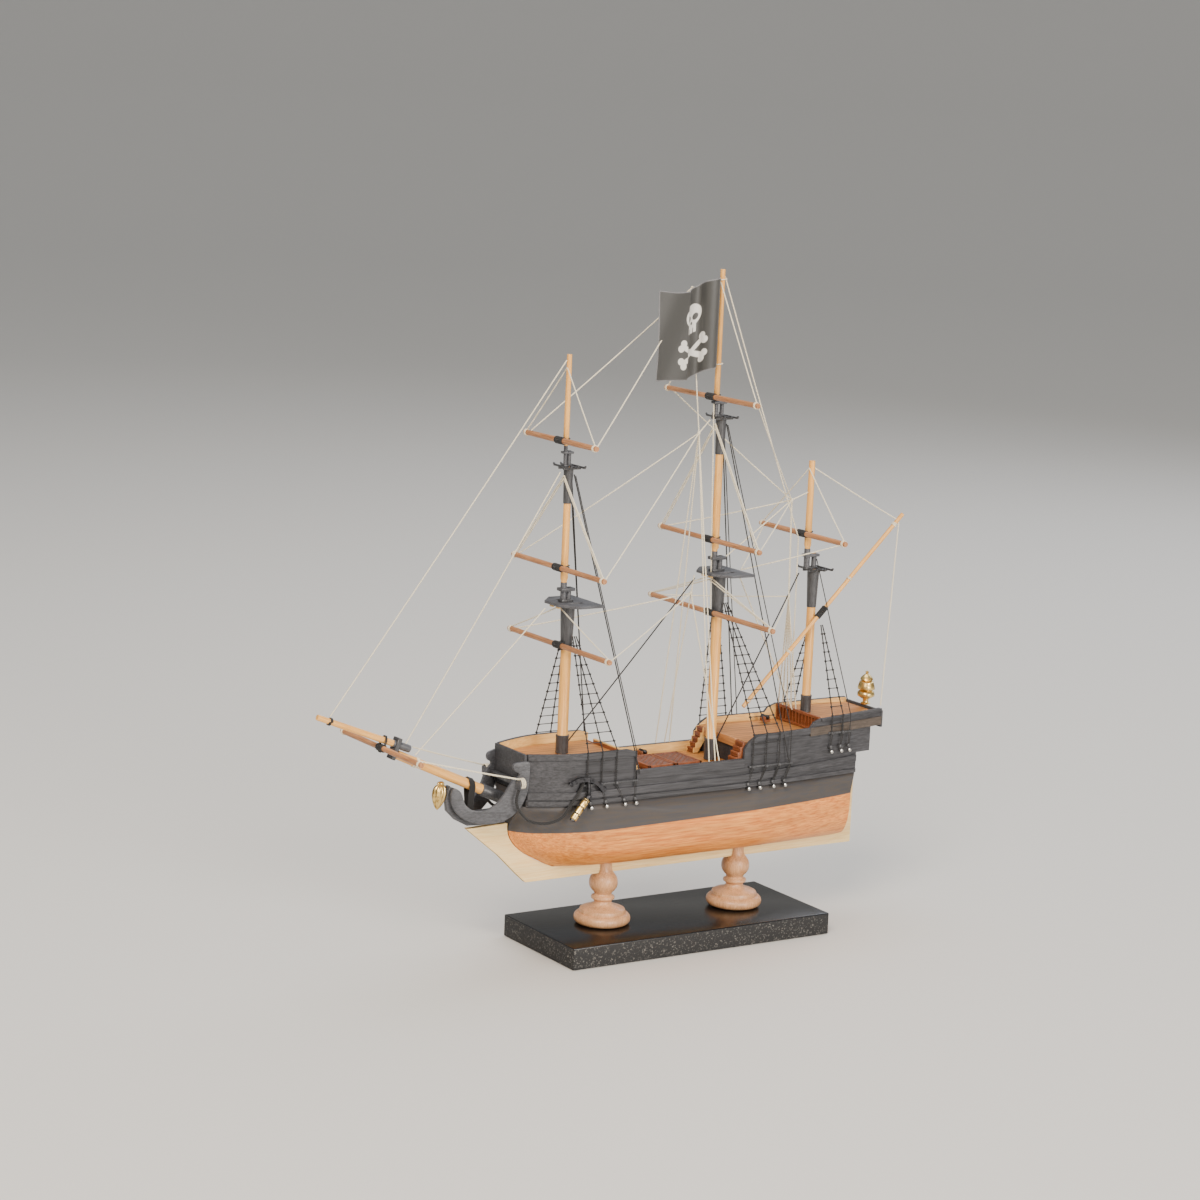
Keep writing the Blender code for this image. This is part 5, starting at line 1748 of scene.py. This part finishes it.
    def lateen_lines(self) -> list[Line]:
        """Return the halyard and vang of the slanting yard."""
        yard = "lateen_yard"
        return [Line("peak_halyard", (69.4, 0.0, 214.6), (116.2, -3.7, 189.0), yard),
                Line("vang", (106.6, -12.6, 102.0), (117.2, -4.6, 187.6), yard, spare=0.006)]


# ---------------------------------------------------------------- flag


@dataclass
class Flag:
    """Satin flag with a printed emblem, waved near the hoist and drooping at the fly."""

    hoist_x: float = 10.6
    low: float = 262.6
    high: float = 302.4
    fly: float = 31.8
    droop: float = 6.2
    thickness: float = 0.25
    columns: int = 128
    rows: int = 140

    def wave(self, t: float) -> Flat:
        """Return the place in plan a fraction t of the way from hoist to fly."""
        swing = math.sin(2.0 * math.pi * min(t * 2.1, 1.0) ** 0.9) * (1.0 - 0.45 * t)
        return (self.hoist_x - self.fly * t + 0.9 * math.sin(4.0 * math.pi * min(t * 2.1, 1.0)),
                -3.1 * swing - 0.8 * t)

    def emblem(self, a: float, b: float) -> float:
        """Return how far inside the printed emblem a point lies.

        Args:
            a: distance from the hoist in millimetres.
            b: height above the foot in millimetres.

        Returns:
            Depth inside the print, negative outside it.
        """
        a -= 17.0
        skull = max(5.2 - math.hypot(a, (b - 27.6) * 1.05),
                    min(2.7 - abs(a), 2.4 - abs(b - 22.2)))
        for shift in (-2.1, 2.1):
            skull = min(skull, math.hypot((a - shift) * 0.95, b - 26.6) - 1.5)
            skull = min(skull, max(abs(a - shift * 0.45) - 0.22, b - 22.0))
        skull = min(skull, math.hypot(a * 1.3, b - 24.2) - 0.75)
        bones = -9.0
        for way in (-1.0, 1.0):
            ux, uy = 0.86 * way, 0.51
            along = a * ux + (b - 11.4) * uy
            off = -a * uy + (b - 11.4) * ux
            bones = max(bones, 1.15 - math.hypot(max(abs(along) - 7.0, 0.0), off))
            for knob in (-1.3, 1.3):
                bones = max(bones, 1.6 - math.hypot(abs(along) - 7.8, off - knob))
        return max(skull, bones)

    def build(self) -> None:
        """Weave, wave, print and hang the flag, and tie its two corners."""
        deselect()
        bpy.ops.mesh.primitive_grid_add(x_subdivisions=self.columns, y_subdivisions=self.rows,
                                        size=1.0)
        piece = bpy.context.active_object
        plan = [self.wave(i / 200) for i in range(201)]
        run = [0.0]
        for (x0, y0), (x1, y1) in zip(plan, plan[1:]):
            run.append(run[-1] + math.hypot(x1 - x0, y1 - y0))
        flat = run[-1]
        mesh = piece.data
        mesh.uv_layers[0].name = "cloth"
        emblem = mesh.attributes.new("emblem", "FLOAT", "POINT")
        hem = mesh.attributes.new("hem", "FLOAT", "POINT")
        height = self.high - self.low
        for i, vertex in enumerate(mesh.vertices):
            t, v = vertex.co.x + 0.5, vertex.co.y + 0.5
            k = min(int(t * 200), 199)
            out = mix(run[k], run[k + 1], t * 200 - k)
            emblem.data[i].value = self.emblem(out, v * height)
            edge = min(out, flat - out, v * height, (1.0 - v) * height)
            hem.data[i].value = 1.0 if edge < 0.45 else 0.0
            x, y = self.wave(t)
            ripple = 0.5 * math.sin(v * 5.0 + t * 9.0) * t
            z = mix(self.low, self.high, v) - self.droop * min(t * 2.4,
                                                               1.0) ** 1.4 + 0.5 * math.sin(t * 7.0) * v
            vertex.co = Vector((x, y + ripple, z)) * MM
        for face in mesh.polygons:
            face.use_smooth = True
        pick(piece)
        thicken = piece.modifiers.new("cloth", "SOLIDIFY")
        thicken.thickness = self.thickness * MM
        thicken.offset = 0.0
        bpy.ops.object.modifier_apply(modifier=thicken.name)
        piece.name = "satin_flag"
        dress(piece, FLAG_CLOTH, "ship", ["flag"])
        ties = []
        for z in (self.low + 1.0, self.high - 1.0):
            ties.append([(12.5 + 2.1 * math.cos(a * math.pi / 6), 1.75 * math.sin(a * math.pi / 6),
                          z + 0.2 * math.cos(a * math.pi / 6)) for a in range(12)])
        dress(laid_thread("flag_ties", ties, 0.24, True), CREAM_THREAD)


# ---------------------------------------------------------------- studio


@dataclass
class Studio:
    """Pale floor, soft lights and the camera."""

    eye: Point = (-777.0, -1124.2, 400.2)
    azimuth: float = -33.068
    elevation: float = 10.175
    roll: float = 2.526
    lens: float = 92.13

    def build(self) -> None:
        """Lay the floor, light it and set the camera."""
        deselect()
        bpy.ops.mesh.primitive_circle_add(vertices=96, radius=2.5, fill_type="NGON",
                                          location=(0.0, 0.0, -0.0002))
        bpy.ops.object.mode_set(mode="EDIT")
        wide = 2.5
        for reach, lift in ((3.6, 0.05), (4.8, 0.25), (5.8, 0.6), (6.6, 1.1), (7.2, 1.6)):
            bpy.ops.mesh.extrude_region_move(TRANSFORM_OT_translate={"value": (0.0, 0.0, lift)})
            bpy.ops.transform.resize(value=(reach / wide, reach / wide, 1.0),
                                     center_override=(0.0, 0.0, 0.0))
            wide = reach
        bpy.ops.mesh.delete(type="ONLY_FACE")
        floor = seated("floor")
        paper = bpy.data.materials.new("pale_paper")
        paper.use_nodes = True
        tree = paper.node_tree
        shader = tree.nodes["Principled BSDF"]
        tooth = add_node(tree, "ShaderNodeTexNoise", {"Scale": 900.0})
        bump = add_node(tree, "ShaderNodeBump", {"Strength": 0.05, "Distance": 0.0005},
                        {"Height": tooth.outputs["Fac"]})
        tree.links.new(bump.outputs[0], shader.inputs["Normal"])
        shader.inputs["Base Color"].default_value = linear("#d4d1cb")
        shader.inputs["Roughness"].default_value = 0.8
        floor.data.materials.append(paper)
        world = bpy.data.worlds.new("studio")
        world.use_nodes = True
        sky = world.node_tree.nodes["Background"]
        sky.inputs["Color"].default_value = linear("#c9ccd0")
        sky.inputs["Strength"].default_value = 0.75
        bpy.context.scene.world = world
        for name, place, size, power, tone in (
                ("key", (-1.1, -1.0, 1.3), 0.7, 36.0, "#fff1e0"),
                ("front", (0.2, -1.8, 0.55), 0.8, 30.0, "#fff8f0"),
                ("fill", (1.3, 0.6, 1.1), 1.0, 11.0, "#eef3ff"),
                ("top", (0.0, 0.2, 1.6), 1.1, 13.0, "#ffffff")):
            self.lamp(name, place, size, power, tone)
        self.camera()

    def lamp(self, name: str, place: Point, size: float, power: float, tone: str) -> None:
        """Hang one square soft light aimed at the ship.

        Args:
            name: the light's name.
            place: its place in metres.
            size: its side in metres.
            power: its power in watts.
            tone: its colour.
        """
        light = bpy.data.lights.new(name, "AREA")
        light.size = size
        light.energy = power
        light.color = linear(tone)[:3]
        holder = bpy.data.objects.new(name, light)
        bpy.context.scene.collection.objects.link(holder)
        aim = Vector((0.0, 0.0, 0.13)) - Vector(place)
        holder.matrix_world = (Matrix.Translation(Vector(place))
                               @ aim.to_track_quat("-Z", "Y").to_matrix().to_4x4())

    def camera(self) -> None:
        """Stand the camera at the height of the hull, a little off the port bow."""
        a, e, r = (math.radians(v) for v in (self.azimuth, self.elevation, self.roll))
        back = Vector((math.sin(a) * math.cos(e), -math.cos(a) * math.cos(e), math.sin(e)))
        level = Vector((math.cos(a), math.sin(a), 0.0))
        up = back.cross(level)
        right = level * math.cos(r) + up * math.sin(r)
        top = up * math.cos(r) - level * math.sin(r)
        lens = bpy.data.cameras.new("camera")
        lens.lens = self.lens
        lens.sensor_width = 36.0
        camera = bpy.data.objects.new("camera", lens)
        bpy.context.scene.collection.objects.link(camera)
        turn = Matrix((right, top, back)).transposed().to_4x4()
        camera.matrix_world = Matrix.Translation(Vector(self.eye) * MM) @ turn
        bpy.context.scene.camera = camera


def main() -> None:
    """Build the ship's looks."""
    logging.basicConfig(level=logging.INFO, format="%(message)s")
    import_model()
    masts = [Mast("fore", (-61.8, -64.4, -66.3), (2.4, 1.7), 91.3, 139.0, 159.2, 166.2,
                  (2.9, 8.4), (9.5, 13.5), 203.5, 219.3, 227.0),
             Mast("main", (18.9, 15.7, 12.6), (2.4, 1.9), 81.3, 149.0, 168.4, 176.0,
                  (2.9, 10.0), (9.5, 13.5), 222.5, 239.0, 247.0),
             Mast("mizzen", (72.2, 68.1), (2.06, 1.65), 99.2, 149.0, 166.6, 174.5,
                  (2.5, 8.2), (5.5, 8.0))]
    yards = [Yard("fore_course_yard", -65.85, 140.5, 42.1, -61.8, 2.4),
             Yard("fore_topsail_yard", -67.75, 175.3, 38.1, -64.4, 1.7),
             Yard("fore_topgallant_yard", -69.25, 231.6, 29.6, -66.3, 1.3),
             Yard("main_course_yard", 14.85, 150.2, 49.4, 18.9, 2.4),
             Yard("main_topsail_yard", 12.15, 184.1, 40.0, 15.7, 1.9),
             Yard("main_topgallant_yard", 9.65, 248.9, 36.4, 12.6, 1.3),
             Yard("mizzen_topsail_yard", 64.8, 184.1, 33.1, 68.1, 1.65)]
    shrouds = [ShroudSet("fore", (-61.8, -54.2, -46.6), -36.4, (-60.3, 144.8), 95.9, 81.4,
                         (-59.6, -51.6, -41.9, -36.0), 21.0, 71.4, (-61.6, 1.6, 216.0)),
               ShroudSet("main", (27.5, 34.9, 42.2), 48.5, (20.4, 155.0), 96.6, 81.7,
                         (25.4, 31.6, 39.2, 45.7), 21.0, 72.0, (18.4, 1.6, 236.0)),
               ShroudSet("mizzen", (73.8, 80.0), 84.3, (75.8, 141.1), 101.0, 93.0,
                         (73.4, 79.1, 83.8), 18.4, 84.6, (72.6, 1.6, 172.0))]
    for assembly in (Stand(), Hull(), Head(), DeckFittings(), Lantern(), Anchors(), *masts,
                     Bowsprit(), Lateen(), *yards, *shrouds, Rigging(), Flag(), Studio()):
        LOG.info("building %s", type(assembly).__name__)
        assembly.build()


if __name__ == "__main__":
    main()
